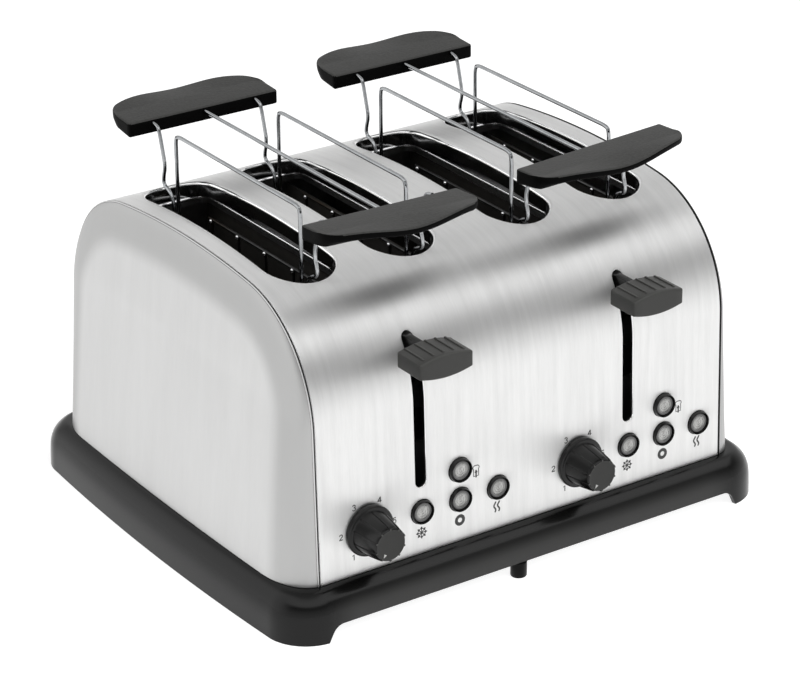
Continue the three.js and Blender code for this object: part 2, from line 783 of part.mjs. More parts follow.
// Dial knobs: a skirt, a tapered fluted grip and a shaft
function makeDial(x) {
  const skirtFront = dialBack - dialSkirtDepth;
  const skirt = barAlongY(dialSkirtRadius, x, skirtFront, dialBack, controlHeight, dialFluteCount * 2);
  const rings = [[dialBodyRadius, skirtFront + gap], [dialFaceRadius, dialFront]].map(([radius, y]) => {
    const ring = [];
    const count = dialFluteCount * 2;
    for (let step = 0; step < count; step += 1) {
      const angle = 2 * Math.PI * step / count;
      const reach = radius - (step % 2) * dialFluteDepth;
      ring.push(new THREE.Vector3(x + reach * Math.cos(angle), y, controlHeight + reach * Math.sin(angle)));
    }
    return ring;
  });
  const grip = toSolid(skin(rings, false));
  const shaft = barAlongY(dialShaftRadius, x, dialBack - gap, dialShaftEnd, controlHeight, smallRoundSteps);
  return toGeometry(joined([skirt, grip, shaft]));
}

for (const [side, sign] of sides) {
  const dialX = sign * controlX + dialOffset;
  addPiece(`${side}_control_housing`, makeHousing(sign), greyPlastic);
  addPiece(`${side}_dial_potentiometer`, makePotentiometer(dialX), greyPlastic);
  addPiece(`${side}_browning_dial`, makeDial(dialX), blackPlastic);
  for (const [name, offset, z] of buttonPlaces()) {
    addPiece(`${side}_${name}_button`, makeButton(sign * controlX + offset, z), lens);
  }
}

// Lever knobs: an arched, ribbed grip on a flat stem
const leverBack = carriageY - gap;

function makeLeverKnob(middle) {
  const half = leverKnobHalfWidth;
  const side = leverKnobSideHeight / 2;
  const crest = side + leverKnobRise;
  const shape = new THREE.Shape();
  shape.moveTo(middle - half, leverKnobHeight - side);
  shape.quadraticCurveTo(middle, leverKnobHeight - 2 * crest + side, middle + half, leverKnobHeight - side);
  shape.lineTo(middle + half, leverKnobHeight + side);
  shape.quadraticCurveTo(middle, leverKnobHeight + 2 * crest - side, middle - half, leverKnobHeight + side);
  shape.closePath();
  const knobBack = -leverKnobFront + leverKnobDepth;
  const parts = [toSolid(pushed(shape, -leverKnobFront, knobBack, cornerSteps))];
  for (let index = 0; index < leverRibCount; index += 1) {
    const x = (index - (leverRibCount - 1) / 2) * leverRibPitch;
    const rise = side + leverKnobRise * (1 - (x / half) ** 2);
    const low = [middle + x - leverRibWidth / 2, -leverKnobFront + leverRibWidth, leverKnobHeight];
    const high = [middle + x + leverRibWidth / 2, knobBack, leverKnobHeight + rise + leverRibHeight];
    parts.push(boxSolid(low, high));
  }
  const stemLow = [middle - stemHalfWidth, knobBack - leverKnobDepth / 2, stemTop - stemHeight];
  const stemHigh = [middle + stemHalfWidth, leverBack, stemTop];
  parts.push(boxSolid(stemLow, stemHigh));
  return toGeometry(joined(parts));
}

// Carriages: a plate behind the lever, running on an upright rod, with two bread rests
const carriageBack = carriageY + carriageThickness;

function makeCarriage(sign) {
  const middle = sign * controlX;
  const barMiddle = sign * trayX;
  const bottom = carriageBottom();
  const top = bottom + carriageBarHeight;
  const bar = boxSolid([barMiddle - carriageHalfWidth, carriageY, bottom],
    [barMiddle + carriageHalfWidth, carriageBack, top]);
  const neck = boxSolid([middle - carriageNeckHalfWidth, carriageY, bottom],
    [middle + carriageNeckHalfWidth, carriageBack, stemTop]);
  const bossRadius = guideRodRadius + slidingGap + carriageBossWall;
  const block = boxSolid([middle - bossRadius, carriageY + gap, bottom],
    [middle + bossRadius, guideRodY, top]);
  const boss = barAlongZ(bossRadius, middle, guideRodY, bottom, top, roundSteps);
  const bore = barAlongZ(guideRodRadius + slidingGap, middle, guideRodY, bottom - overrun, top + overrun,
    roundSteps);
  return toGeometry(cut(joined([bar, neck, block, boss]), [bore]));
}

function makeBreadRest(x) {
  const front = carriageBack + gap;
  const rest = boxSolid([x - breadRestHalfWidth, front, restTop - breadRestHeight],
    [x + breadRestHalfWidth, breadRestRear, restTop]);
  const notches = [];
  const pitch = (breadRestRear + bulkheadY) / (breadRestNotchCount + 1);
  for (let index = 1; index <= breadRestNotchCount; index += 1) {
    const y = -bulkheadY + index * pitch;
    const half = breadRestHalfWidth + overrun;
    const low = [x - half, y - breadRestNotchWidth / 2, restTop - breadRestNotchDepth];
    notches.push(boxSolid(low, [x + half, y + breadRestNotchWidth / 2, restTop + overrun]));
  }
  return toGeometry(cut(rest, notches));
}

for (const [side, sign] of sides) {
  const middle = sign * controlX;
  addPiece(`${side}_lever_knob`, makeLeverKnob(middle), greyPlastic);
  addPiece(`${side}_carriage`, makeCarriage(sign), plainSteel);
  const rod = barAlongZ(guideRodRadius, middle, guideRodY, shellBottom, guideRodTop, smallRoundSteps);
  addPiece(`${side}_guide_rod`, toGeometry(rod), plainSteel);
}
for (const [name, x] of slotCentres) {
  addPiece(`${name}_bread_rest`, makeBreadRest(x), plainSteel);
}

// Crumb trays: shallow pans that pull out at the back
function makeTray(middle) {
  const top = trayBottom + trayHeight;
  const body = boxSolid([middle - trayHalfWidth, trayFront, trayBottom], [middle + trayHalfWidth, trayRear, top]);
  const hollow = boxSolid([middle - trayHalfWidth + trayWall, trayFront + trayWall, trayBottom + trayWall],
    [middle + trayHalfWidth - trayWall, trayRear - trayWall, top + overrun]);
  const pull = boxSolid([middle - trayPullHalfWidth, trayRear - trayWall, trayBottom],
    [middle + trayPullHalfWidth, trayPullReach, trayBottom + trayPullThickness]);
  return toGeometry(body.subtract(hollow).add(pull));
}

for (const [side, sign] of sides) {
  addPiece(`${side}_crumb_tray`, makeTray(sign * trayX), satinSteel);
}

// The cord gland in the back of the wrap
function makeGland() {
  const wall = -frontWallY(glandHeight);
  const out = wall + gap + glandFlangeDepth;
  const profile = [
    [glandBoreRadius, wall - glandLength],
    [glandRadius, wall - glandLength],
    [glandRadius, wall + gap],
    [glandFlangeRadius, wall + gap],
    [glandFlangeRadius, out],
    [glandBoreRadius, out],
    [glandBoreRadius, wall - glandLength],
  ].map(([x, y]) => new THREE.Vector2(x, y));
  return toGeometry(toSolid(new THREE.LatheGeometry(profile, roundSteps))).translate(glandX, 0, glandHeight);
}

addPiece("cord_gland", makeGland(), blackPlastic);

// A wire along points in one upright plane at x, mitred at its bends
function wireInPlane(points, x, radius) {
  const rings = points.map(([y, z], index) => {
    const before = points[Math.max(index - 1, 0)];
    const after = points[Math.min(index + 1, points.length - 1)];
    const into = new THREE.Vector2(y - before[0], z - before[1]).normalize();
    const out = new THREE.Vector2(after[0] - y, after[1] - z).normalize();
    if (index === 0) {
      into.copy(out);
    }
    if (index === points.length - 1) {
      out.copy(into);
    }
    const along = into.clone().add(out).normalize();
    const across = new THREE.Vector2(-along.y, along.x);
    const stretch = 1 / Math.max(along.dot(into), 0.5);
    const ring = [];
    for (let side = 0; side < wireSides; side += 1) {
      const angle = 2 * Math.PI * side / wireSides;
      const reach = radius * Math.cos(angle) * stretch;
      ring.push(new THREE.Vector3(x + radius * Math.sin(angle), y + across.x * reach, z + across.y * reach));
    }
    return ring;
  });
  return skin(rings, false);
}

// Warming racks: each loop wire hooks over the slots' round ends and carries two handles
function rackLoopPoints() {
  const bend = 2 * rackWireRadius;
  const rim = archCorner.z + Math.sqrt(archCornerRadius ** 2 - (slotHalfLength + archCorner.y) ** 2);
  const seat = rim + rackSeatClearance;
  const shoulder = slotHalfLength + rackShoulderReach;
  const hook = slotHalfLength - rackHookInset;
  const leg = slotHalfLength - rackLegInset;
  const arm = slotHalfLength - rackArmInset;
  const foot = bodyHeight - rackFootDepth;
  const back = [
    [handleY - gap, rackEntryHeight],
    [shoulder + bend, rackEntryHeight - bend / 4],
    [shoulder, rackEntryHeight - bend],
    [slotHalfLength - rackWaistInset, bodyHeight + rackWaistLift],
    [hook + rackWireRadius / 2, bodyHeight - rackHookDepth],
    [hook, seat],
    [slotHalfLength - rackElbowInset, seat - rackElbowDrop],
    [slotHalfLength - rackKneeInset, seat - rackKneeDrop],
    [leg, bodyHeight - rackLegTopDepth],
    [leg, foot + bend / 2],
    [(leg + arm) / 2, foot],
    [arm, foot + bend / 2],
    [arm, rackTop - bend],
    [arm - bend, rackTop],
  ];
  const front = back.map(([y, z]) => [-y, z]).reverse();
  return [...back, ...front];
}

// A section of a rack handle at a place along it: its lip bows out and waves, and its corners are round
function handleSection(along) {
  const share = along / handleHalfLength;
  const intoCorner = Math.max(Math.abs(along) - handleHalfLength + handleCornerRadius, 0);
  const corner = handleCornerRadius - Math.sqrt(handleCornerRadius ** 2 - intoCorner ** 2);
  const width = handleEndWidth + handleBow * (1 - share * share) ** lipWaveShare - corner;
  const flat = Math.min(handleFlatWidth, width - handleEndWidth + handleFlatWidth);
  const wave = handleRise * (1 - lipWaveShare * Math.cos(lipWaveShare * 2 * Math.PI * share));
  const bottom = handleTop - handleThickness;
  const lipTop = handleTop + wave;
  return [
    [0, bottom],
    [flat, bottom + handleUndersideRise],
    [width, lipTop - handleLipThickness],
    [width, lipTop],
    [flat, handleTop + handleRise / 2],
    [0, handleTop],
  ];
}

// A handle that sits a little out of level: its end to the right is lifted
function makeHandle(middle, facing, lift) {
  const rings = handleStationShares.map((share) => {
    const along = handleHalfLength * share;
    const raise = lift * (1 + facing * share) / 2;
    return handleSection(along).map(([out, z]) => {
      return new THREE.Vector3(middle + facing * along, facing * (handleY + out), z + raise);
    });
  });
  return toGeometry(toSolid(skin(rings, false)));
}

for (const [side, sign] of sides) {
  const middle = sign * rackX;
  const lift = sign > 0 ? rightHandleLift : -leftHandleDrop;
  addPiece(`${side}_rack_front_handle`, makeHandle(middle, -1, lift), greyPlastic);
  addPiece(`${side}_rack_rear_handle`, makeHandle(middle, 1, 0), greyPlastic);
  const places = [["outer", sign], ["inner", -sign]];
  for (const [place, offset] of places) {
    const x = middle + offset * rackWireSpread;
    addPiece(`${side}_rack_${place}_wire`, wireInPlane(rackLoopPoints(), x, rackWireRadius), chromeWire);
  }
  const reach = handleY - gap;
  const centre = barAlongY(rackWireRadius, middle, -reach, reach, rackEntryHeight, wireSides);
  addPiece(`${side}_rack_centre_wire`, toGeometry(centre), chromeWire);
}

export default toaster;
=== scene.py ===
# A four-slot toaster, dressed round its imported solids. Piece sizes are in millimetres, as on the
# drawing, and meshes are in metres; +X is right, +Y back and +Z up, from the table under its middle.
import math

import bmesh
import bpy
import numpy as np
from mathutils import Matrix, Vector
from mathutils.geometry import delaunay_2d_cdt


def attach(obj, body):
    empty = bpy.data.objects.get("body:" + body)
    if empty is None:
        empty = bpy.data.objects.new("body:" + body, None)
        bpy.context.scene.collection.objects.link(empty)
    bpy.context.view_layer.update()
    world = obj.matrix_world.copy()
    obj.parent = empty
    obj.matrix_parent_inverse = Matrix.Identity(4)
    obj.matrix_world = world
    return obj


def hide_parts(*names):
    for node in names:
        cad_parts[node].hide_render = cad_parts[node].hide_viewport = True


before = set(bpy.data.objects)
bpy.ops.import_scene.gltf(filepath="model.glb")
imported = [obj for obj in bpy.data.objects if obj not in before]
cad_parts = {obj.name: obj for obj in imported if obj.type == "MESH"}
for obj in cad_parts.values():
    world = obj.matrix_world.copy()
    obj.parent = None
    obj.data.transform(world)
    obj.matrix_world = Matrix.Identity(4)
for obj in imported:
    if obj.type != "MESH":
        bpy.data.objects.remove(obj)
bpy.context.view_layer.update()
scene = bpy.context.scene
MM = 0.001

# The view: a long lens from the front left and above, turned a little as the photograph is.
view_azimuth = math.radians(33.84)
view_elevation = math.radians(24.60)
view_roll = math.radians(-0.51)
view_distance = 1.8029
view_target = Vector((0.00302, -0.00105, 0.08797))
to_camera = Vector((
    -math.sin(view_azimuth) * math.cos(view_elevation),
    -math.cos(view_azimuth) * math.cos(view_elevation),
    math.sin(view_elevation),
))
level_right = Vector((0, 0, 1)).cross(to_camera).normalized()
level_up = to_camera.cross(level_right)
camera_right = level_right * math.cos(view_roll) + level_up * math.sin(view_roll)
camera_up = level_up * math.cos(view_roll) - level_right * math.sin(view_roll)
camera_data = bpy.data.cameras.new("photo_camera")
camera_data.sensor_width = 36
camera_data.lens = 139.41
camera_data.clip_end = 50
camera = bpy.data.objects.new("photo_camera", camera_data)
camera.matrix_world = Matrix.Translation(view_target + to_camera * view_distance) @ Matrix((
    camera_right, camera_up, to_camera)).transposed().to_4x4()
scene.collection.objects.link(camera)
scene.camera = camera
scene.view_settings.view_transform = "Standard"


# The studio: white air, a white table that keeps the shadow, three soft lamps, and a grey studio room
# that only the metal sees, so that the steel shows a bright ceiling light over darker walls.
def add_node(tree, kind, inputs=None, **settings):
    """A node with its inputs linked or set. A colour is a grey level, or its red, green and blue."""
    node = tree.nodes.new(kind)
    for name, value in settings.items():
        setattr(node, name, value)
    for name, value in (inputs or {}).items():
        socket = node.inputs[name]
        if isinstance(value, bpy.types.NodeSocket):
            tree.links.new(value, socket)
        elif socket.type == "RGBA":
            socket.default_value = [*map(float, np.broadcast_to(value, 3)), 1]
        else:
            socket.default_value = value
    return node


def maths(tree, operation, *values, **settings):
    """The result of a sum on numbers or sockets."""
    node = add_node(tree, "ShaderNodeMath", dict(enumerate(values)), operation=operation, **settings)
    return node.outputs[0]


def ranged(tree, value, first, last, low=0.0, high=1.0, **settings):
    """A value that runs from first to last, spread from low to high."""
    ends = {"From Min": first, "From Max": last, "To Min": low, "To Max": high}
    return add_node(tree, "ShaderNodeMapRange", {"Value": value, **ends}, **settings).outputs[0]


def seen_directly(tree):
    """1 for rays from the camera, from metal and through glass, and 0 for the light that falls."""
    path = add_node(tree, "ShaderNodeLightPath").outputs
    both = maths(tree, "ADD", path["Is Camera Ray"], path["Is Glossy Ray"], use_clamp=True)
    return maths(tree, "ADD", both, path["Is Transmission Ray"], use_clamp=True)


air_light = 0.16
air = bpy.data.worlds.new("studio_air")
scene.world = air
air.use_nodes = True
air.node_tree.nodes.clear()
air_glow = add_node(air.node_tree, "ShaderNodeBackground", {
    "Color": 1, "Strength": ranged(air.node_tree, seen_directly(air.node_tree), 0, 1, air_light)})
add_node(air.node_tree, "ShaderNodeOutputWorld", {"Surface": air_glow.outputs[0]})


def empty_material(name):
    material = bpy.data.materials.new(name)
    material.use_nodes = True
    material.node_tree.nodes.clear()
    return material, material.node_tree


def mesh_piece(name, points, faces, scale=MM):
    """A mesh object at the origin, from points in millimetres."""
    mesh = bpy.data.meshes.new(name)
    mesh.from_pydata([tuple(float(c) * scale for c in p) for p in points], [], faces)
    mesh.update()
    piece = bpy.data.objects.new(name, mesh)
    scene.collection.objects.link(piece)
    return piece


table_material, table_tree = empty_material("white_table")
table_paint = add_node(table_tree, "ShaderNodeBsdfDiffuse", {"Color": 0.55})
table_glow = add_node(table_tree, "ShaderNodeEmission", {"Color": 1, "Strength": 0.85})
table_sum = add_node(table_tree, "ShaderNodeAddShader", {
    0: table_paint.outputs[0], 1: table_glow.outputs[0]})
table_seen = add_node(table_tree, "ShaderNodeMixShader", {
    0: seen_directly(table_tree), 1: table_paint.outputs[0], 2: table_sum.outputs[0]})
add_node(table_tree, "ShaderNodeOutputMaterial", {"Surface": table_seen.outputs[0]})
table_reach = 4000
table_top = mesh_piece("table_top", [
    (-table_reach, -table_reach, 0), (table_reach, -table_reach, 0),
    (table_reach, table_reach, 0), (-table_reach, table_reach, 0)], [(0, 1, 2, 3)])
table_top.data.materials.append(table_material)

lamp_target = Vector((0, 0, 0.1))
lamps = [
    ("ceiling_softbox", (0.3, -1.6, 2.4), 2.2, 62),
    ("left_softbox", (-2.4, -0.8, 1.5), 1.8, 5),
    ("back_softbox", (0.9, 2.2, 1.7), 1.8, 5),
]
for lamp_name, lamp_place, lamp_size, lamp_power in lamps:
    lamp_data = bpy.data.lights.new(lamp_name, "AREA")
    lamp_data.size = lamp_size
    lamp_data.energy = lamp_power
    lamp = bpy.data.objects.new(lamp_name, lamp_data)
    lamp.location = lamp_place
    lamp.rotation_mode = "QUATERNION"
    lamp.rotation_quaternion = (Vector(lamp_place) - lamp_target).to_track_quat("Z", "Y")
    lamp.visible_glossy = False
    scene.collection.objects.link(lamp)


def parts(tree, vector):
    """A vector's X, Y and Z."""
    return add_node(tree, "ShaderNodeSeparateXYZ", {0: vector}).outputs


def own_place(tree):
    """The place of a shaded point on its own object."""
    return add_node(tree, "ShaderNodeTexCoord").outputs["Object"]


def mix_colours(tree, share, first, second):
    """The first colour, which gives way to the second by a share."""
    return add_node(tree, "ShaderNodeMix", {0: share, 6: first, 7: second}, data_type="RGBA").outputs[2]


def settle(piece, bend=30.0):
    """Turns a piece and its modifiers into a plain smooth mesh with sharp edges where it bends more."""
    graph = bpy.context.evaluated_depsgraph_get()
    graph.update()
    mesh = bpy.data.meshes.new_from_object(piece.evaluated_get(graph))
    mesh.name = piece.name
    piece.modifiers.clear()
    piece.data = mesh
    mesh.shade_smooth()
    mesh.set_sharp_from_angle(angle=math.radians(bend))
    return piece


def polar(reach, angle):
    return reach * math.cos(angle), reach * math.sin(angle)


def band(low, high):
    """The faces between two rings of point numbers. A ring of one number is a tip."""
    faces = []
    for i in range(max(len(low), len(high))):
        j = (i + 1) % max(len(low), len(high))
        if len(low) == 1:
            faces.append([low[0], high[j], high[i]])
        elif len(high) == 1:
            faces.append([low[i], low[j], high[0]])
        else:
            faces.append([low[i], low[j], high[j], high[i]])
    return faces


def turned(name, profile, place, axis="z", steps=72, looped=False):
    """A body of revolution. Its profile rows are (radius, along), up Z or toward the front along Y."""
    points = []
    rings = []
    for radius, along in profile:
        start = len(points)
        around = steps if radius else 1
        points += [(*polar(radius, 2 * math.pi * step / steps), along) for step in range(around)]
        rings.append(range(start, len(points)))
    faces = []
    for low, high in zip(rings, rings[1:] + (rings[:1] if looped else [])):
        faces += band(low, high)
    if axis == "y":
        points = [(x, -along, y) for x, y, along in points]
    return settle(mesh_piece(name, [np.add(point, place) for point in points], faces), 32)


room_radius = 3500
room_profile = [(0, room_radius)]
room_profile += [polar(room_radius, math.radians(-4 + 94 * row / 12)) for row in range(11, -1, -1)]
studio_room = turned("studio_room", room_profile, (0, 0, 0), steps=32)
room_material, room_tree = empty_material("studio_walls")
room_way = add_node(room_tree, "ShaderNodeVectorMath", {0: own_place(room_tree)}, operation="NORMALIZE")
room_axes = parts(room_tree, room_way.outputs[0])


def wall_grey(rows):
    """A wall's grey by the height that it is seen at, from rows of (height, grey)."""
    wall = add_node(room_tree, "ShaderNodeValToRGB", {"Fac": room_axes["Z"]})
    wall.color_ramp.interpolation = "EASE"
    steps = wall.color_ramp.elements
    for step, (height, grey) in zip(steps, (rows[0], rows[-1])):
        step.color = (grey, grey, grey, 1)
    for height, grey in rows[1:-1]:
        steps.new(height).color = (grey, grey, grey, 1)
    return wall.outputs[0]


front_wall = wall_grey([(0.0, 0.66), (0.17, 0.56), (0.34, 0.37), (0.50, 0.17), (0.60, 0.16), (0.68, 0.92),
                        (0.78, 1.0), (0.88, 0.92), (0.96, 0.44), (1.0, 0.36)])
back_wall = wall_grey([(0.0, 0.60), (0.25, 0.46), (0.45, 0.53), (0.62, 0.48), (0.85, 0.36), (1.0, 0.36)])
room_back = mix_colours(room_tree, ranged(room_tree, room_axes["X"], -0.3, -0.5), back_wall, 0.85)
room_grey = mix_colours(room_tree, ranged(room_tree, room_axes["Y"], -0.25, 0.25), front_wall, room_back)
room_glow = add_node(room_tree, "ShaderNodeEmission", {"Color": room_grey, "Strength": 1.6})
add_node(room_tree, "ShaderNodeOutputMaterial", {"Surface": room_glow.outputs[0]})
studio_room.data.materials.append(room_material)
studio_room.visible_camera = False
studio_room.visible_diffuse = False
studio_room.visible_shadow = False
studio_room.visible_transmission = False


# The brushed wrap: one stainless sheet 1.2 thick, folded over front, top and back, with its slots
# pressed down into rolled collars. It is cut flat, with all its holes, and bent over the arch.
wall_y = 131.5
wall_foot = 27.2
wall_lean = 0.03
wall_start = 27.5
body_top = 187.3
corner_radius = 68.6
crown_radius = 574.7
sheet_thickness = 1.2
wrap_half_width = 136.8
wrap_edge_round = 0.7
slot_centres = {"left_outer": -103.4, "left_inner": -39.5, "right_inner": 39.5, "right_outer": 103.4}
slot_half_width = 20.5
slot_half_length = 81.5
slot_roll = 2.2
collar_depth = 9.0
lever_roll = 1.1
lever_rim_depth = 2.2
lever_x = 70.65
lever_low = 67.3
lever_high = 155.0
lever_half_width = 3.4
dial_offset = -35.2
control_z = 52.6
button_places = {
    "defrost": (0, control_z), "cancel": (25.3, control_z), "bun": (25.3, 70.6), "reheat": (50.6, control_z)}
button_hole = 7.4
shaft_hole = 3.6
gland_z = 46
gland_hole = 7.3
rim_guard = 0.6
grid_half_width = 132
grid_clearance = 1.2
roll_steps = 6
rim_start = 0.2
collar_start = 1.6
cut_tolerance = 1e-5
map_scale = 0.01
collar_map_shrink = 0.9

lean_length = math.hypot(1, wall_lean)
crown_z = body_top - crown_radius
corner_offset = corner_radius * lean_length - wall_y - wall_lean * wall_foot
lean_a = 1 + wall_lean ** 2
lean_b = 2 * (corner_offset * wall_lean - crown_z)
lean_c = corner_offset ** 2 + crown_z ** 2 - (crown_radius - corner_radius) ** 2
corner_z = (-lean_b + math.sqrt(lean_b ** 2 - 4 * lean_a * lean_c)) / (2 * lean_a)
corner_y = corner_offset + wall_lean * corner_z
corner_first = math.atan2(wall_lean, -1)
corner_last = math.atan2(corner_z - crown_z, corner_y)
straight_end = corner_z + corner_radius * math.sin(corner_first)
straight_run = (straight_end - wall_start) * lean_length
corner_run = corner_radius * (corner_first - corner_last)
half_run = straight_run + corner_run + crown_radius * (corner_last - math.pi / 2)


def front_y(z):
    """The front wall's outer face at a height."""
    return -wall_y + wall_lean * (z - wall_foot)


def arch_point(run, inset=0.0):
    """Y and Z on the arch, a run along the sheet from its front foot, and inset from its outer face."""
    way = min(run, 2 * half_run - run)
    if way < straight_run:
        z = wall_start + way / lean_length
        place = (front_y(z) + inset / lean_length, z - inset * wall_lean / lean_length)
    elif way < straight_run + corner_run:
        y, z = polar(corner_radius - inset, corner_first - (way - straight_run) / corner_radius)
        place = (corner_y + y, corner_z + z)
    else:
        y, z = polar(crown_radius - inset, corner_last - (way - straight_run - corner_run) / crown_radius)
        place = (y, crown_z + z)
    return place if run <= half_run else (-place[0], place[1])


def run_at_height(z):
    """The run along the front of the sheet at a height."""
    if z < straight_end:
        return (z - wall_start) * lean_length
    angle = math.pi - math.asin((z - corner_z) / corner_radius)
    return straight_run + corner_radius * (corner_first - angle)


def run_at_depth(y):
    """The run along the top of the sheet at a depth."""
    depth = -abs(y)
    angle = math.acos(depth / crown_radius)
    if angle < corner_last:
        run = straight_run + corner_run + crown_radius * (corner_last - angle)
    else:
        angle = math.acos((depth - corner_y) / corner_radius)
        run = straight_run + corner_radius * (corner_first - angle)
    return run if y <= 0 else 2 * half_run - run


def slot_outline(half_width, half_length, steps=18, straights=22):
    """A round-ended slot round 0, 0, counter-clockwise."""
    straight = half_length - half_width
    points = []
    for turn, sign in ((0, 1), (math.pi, -1)):
        for step in range(straights):
            points.append((sign * half_width, -sign * straight * (1 - 2 * step / straights)))
        for step in range(steps):
            x, y = polar(half_width, turn + math.pi * step / steps)
            points.append((x, sign * straight + y))
    return points


def bread_outline(grow):
    """A bread slot round 0, 0, made wider all round."""
    return slot_outline(slot_half_width + grow, slot_half_length + grow)


def lever_outline(grow):
    """A lever slot round 0, 0, made wider all round."""
    return slot_outline(lever_half_width + grow, (lever_high - lever_low) / 2 + grow, 8, 30)


def circle_outline(radius, steps=40):
    return [polar(radius, 2 * math.pi * step / steps) for step in range(steps)]


def top_loop(centre, outline):
    """An outline on the flat sheet, where the sheet is the top."""
    return [(centre + x, run_at_depth(y)) for x, y in outline]


def front_loop(x, z, outline):
    """An outline on the flat sheet, where the sheet is the front wall."""
    return [(x + across, run_at_height(z + up)) for across, up in outline]


def lever_loop(side, grow):
    return front_loop(side * lever_x, (lever_low + lever_high) / 2, lever_outline(grow))


def edge_drop(x):
    """How far the sheet's outer face falls where its side edges are rounded over."""
    over = abs(x) - (wrap_half_width - wrap_edge_round)
    return wrap_edge_round - math.sqrt(max(wrap_edge_round ** 2 - over ** 2, 0)) if over > 0 else 0.0


def reaches(loop, x, run, margin=0):
    """Whether a place on the flat sheet lies in a loop, or within a margin round it."""
    low, high = loop.min(axis=0) - margin, loop.max(axis=0) + margin
    if not (low[0] < x < high[0] and low[1] < run < high[1]):
        return False
    if np.hypot(loop[:, 0] - x, loop[:, 1] - run).min() < margin:
        return True
    after = np.roll(loop, -1, axis=0)
    rise = after[:, 1] - loop[:, 1]
    level_x = (after[:, 0] - loop[:, 0]) * (run - loop[:, 1]) / np.where(rise == 0, 1e-9, rise) + loop[:, 0]
    return (((loop[:, 1] > run) != (after[:, 1] > run)) & (x < level_x)).sum() % 2 == 1


flat_loops = [top_loop(centre, bread_outline(slot_roll)) for centre in slot_centres.values()]
guard_points = []
for centre in slot_centres.values():
    guard_points += top_loop(centre, bread_outline(slot_roll + rim_guard))
for side in (-1, 1):
    guard_points += lever_loop(side, lever_roll + rim_guard)
    flat_loops.append(lever_loop(side, lever_roll))
    for offset, z in button_places.values():
        flat_loops.append(front_loop(side * lever_x + offset, z, circle_outline(button_hole)))
    flat_loops.append(front_loop(side * lever_x + dial_offset, control_z, circle_outline(shaft_hole, 20)))
flat_loops.append([(x, 2 * half_run - run) for x, run in front_loop(0, gland_z, circle_outline(gland_hole))])

edge_columns = [wrap_half_width - wrap_edge_round * share for share in (0, 0.12, 0.35, 0.65, 1.0)]
columns = sorted([*(-x for x in edge_columns), *np.linspace(-grid_half_width, grid_half_width, 67),
                  *edge_columns])
run_stops = [0, straight_run, straight_run + corner_run, 2 * half_run - straight_run - corner_run,
             2 * half_run - straight_run, 2 * half_run]
rows = []
for first, last, count in zip(run_stops, run_stops[1:], (34, 50, 40, 50, 34)):
    rows += list(np.linspace(first, last, count))[:-1]
rows.append(run_stops[-1])
border = [(x, 0.0) for x in columns] + [(columns[-1], run) for run in rows[1:]]
border += [(x, rows[-1]) for x in reversed(columns[:-1])]
border += [(columns[0], run) for run in reversed(rows[1:-1])]
flat_points = []
flat_edges = []
for loop in flat_loops + [border]:
    start = len(flat_points)
    flat_points += loop
    flat_edges += [(start + i, start + (i + 1) % len(loop)) for i in range(len(loop))]
flat_points += guard_points
loop_arrays = [np.array(loop) for loop in flat_loops]
for x in columns[1:-1]:
    for run in rows[1:-1]:
        if not any(reaches(loop, x, run, grid_clearance) for loop in loop_arrays):
            flat_points.append((x, run))
cut_points, _, cut_faces, cut_sources = delaunay_2d_cdt(
    [Vector(p) for p in flat_points], flat_edges, [], 1, cut_tolerance)[:4]
where = {source: index for index, sources in enumerate(cut_sources) for source in sources}
wrap_flat = [(p.x, p.y) for p in cut_points]
wrap_points = [(x, *arch_point(run, edge_drop(x))) for x, run in wrap_flat]
wrap_faces = []
for face in cut_faces:
    middle = sum((cut_points[i] for i in face), Vector((0, 0))) / len(face)
    if not any(reaches(loop, middle.x, middle.y) for loop in loop_arrays):
        a, b, c = (cut_points[i] for i in face[:3])
        turn = (b.x - a.x) * (c.y - a.y) - (b.y - a.y) * (c.x - a.x)
        wrap_faces.append(list(face) if turn > 0 else list(reversed(face)))


def cut_edge(loop):
    """The numbers of a loop's points on the cut sheet."""
    start = flat_points.index(loop[0])
    return [where[start + i] for i in range(len(loop))]


def add_ring(last, places):
    """A ring of points on the wrap, each with its place on the flat sheet, joined to the ring before."""
    ring = range(len(wrap_points), len(wrap_points) + len(places))
    wrap_points.extend(point for point, flat in places)
    wrap_flat.extend(flat for point, flat in places)
    wrap_faces.extend(band(last, ring))
    return ring


for centre in slot_centres.values():
    last = cut_edge(top_loop(centre, bread_outline(slot_roll)))
    for step in range(1, roll_steps + 2):
        t = min(step / roll_steps, 1)
        share = (1 - t) ** 2
        places = []
        for (out_x, out_y), (in_x, in_y) in zip(bread_outline(slot_roll), bread_outline(0)):
            top = arch_point(run_at_depth(out_y))[1]
            corner = arch_point(run_at_depth(in_y))[1]
            z = top * share + corner * 2 * t * (1 - t) + (corner - slot_roll) * t * t
            if step > roll_steps:
                z = corner - collar_depth
            x = centre + out_x * share + in_x * (1 - share)
            flat = (centre + in_x * collar_map_shrink, run_at_depth(in_y) + z)
            places.append(((x, out_y * share + in_y * (1 - share), z), flat))
        last = add_ring(last, places)
for side in (-1, 1):
    last = cut_edge(lever_loop(side, lever_roll))
    for step in range(1, roll_steps + 1):
        t = min(step / (roll_steps - 1), 1)
        share = (1 - t) ** 2
        inset = lever_rim_depth if step == roll_steps else lever_roll * t * t
        places = []
        for (out_x, out_z), (in_x, in_z) in zip(lever_outline(lever_roll), lever_outline(0)):
            x = side * lever_x + out_x * share + in_x * (1 - share)
            run = run_at_height((lever_low + lever_high) / 2 + out_z * share + in_z * (1 - share))
            places.append(((x, *arch_point(run, inset)), (x, run)))
        last = add_ring(last, places)


def give_wall(piece, thickness, bend=30.0):
    """A wall inside an open skin, so that it closes into a shell."""
    wall = piece.modifiers.new("wall", "SOLIDIFY")
    wall.thickness = thickness * MM
    wall.offset = -1
    wall.use_even_offset = True
    return settle(piece, bend)


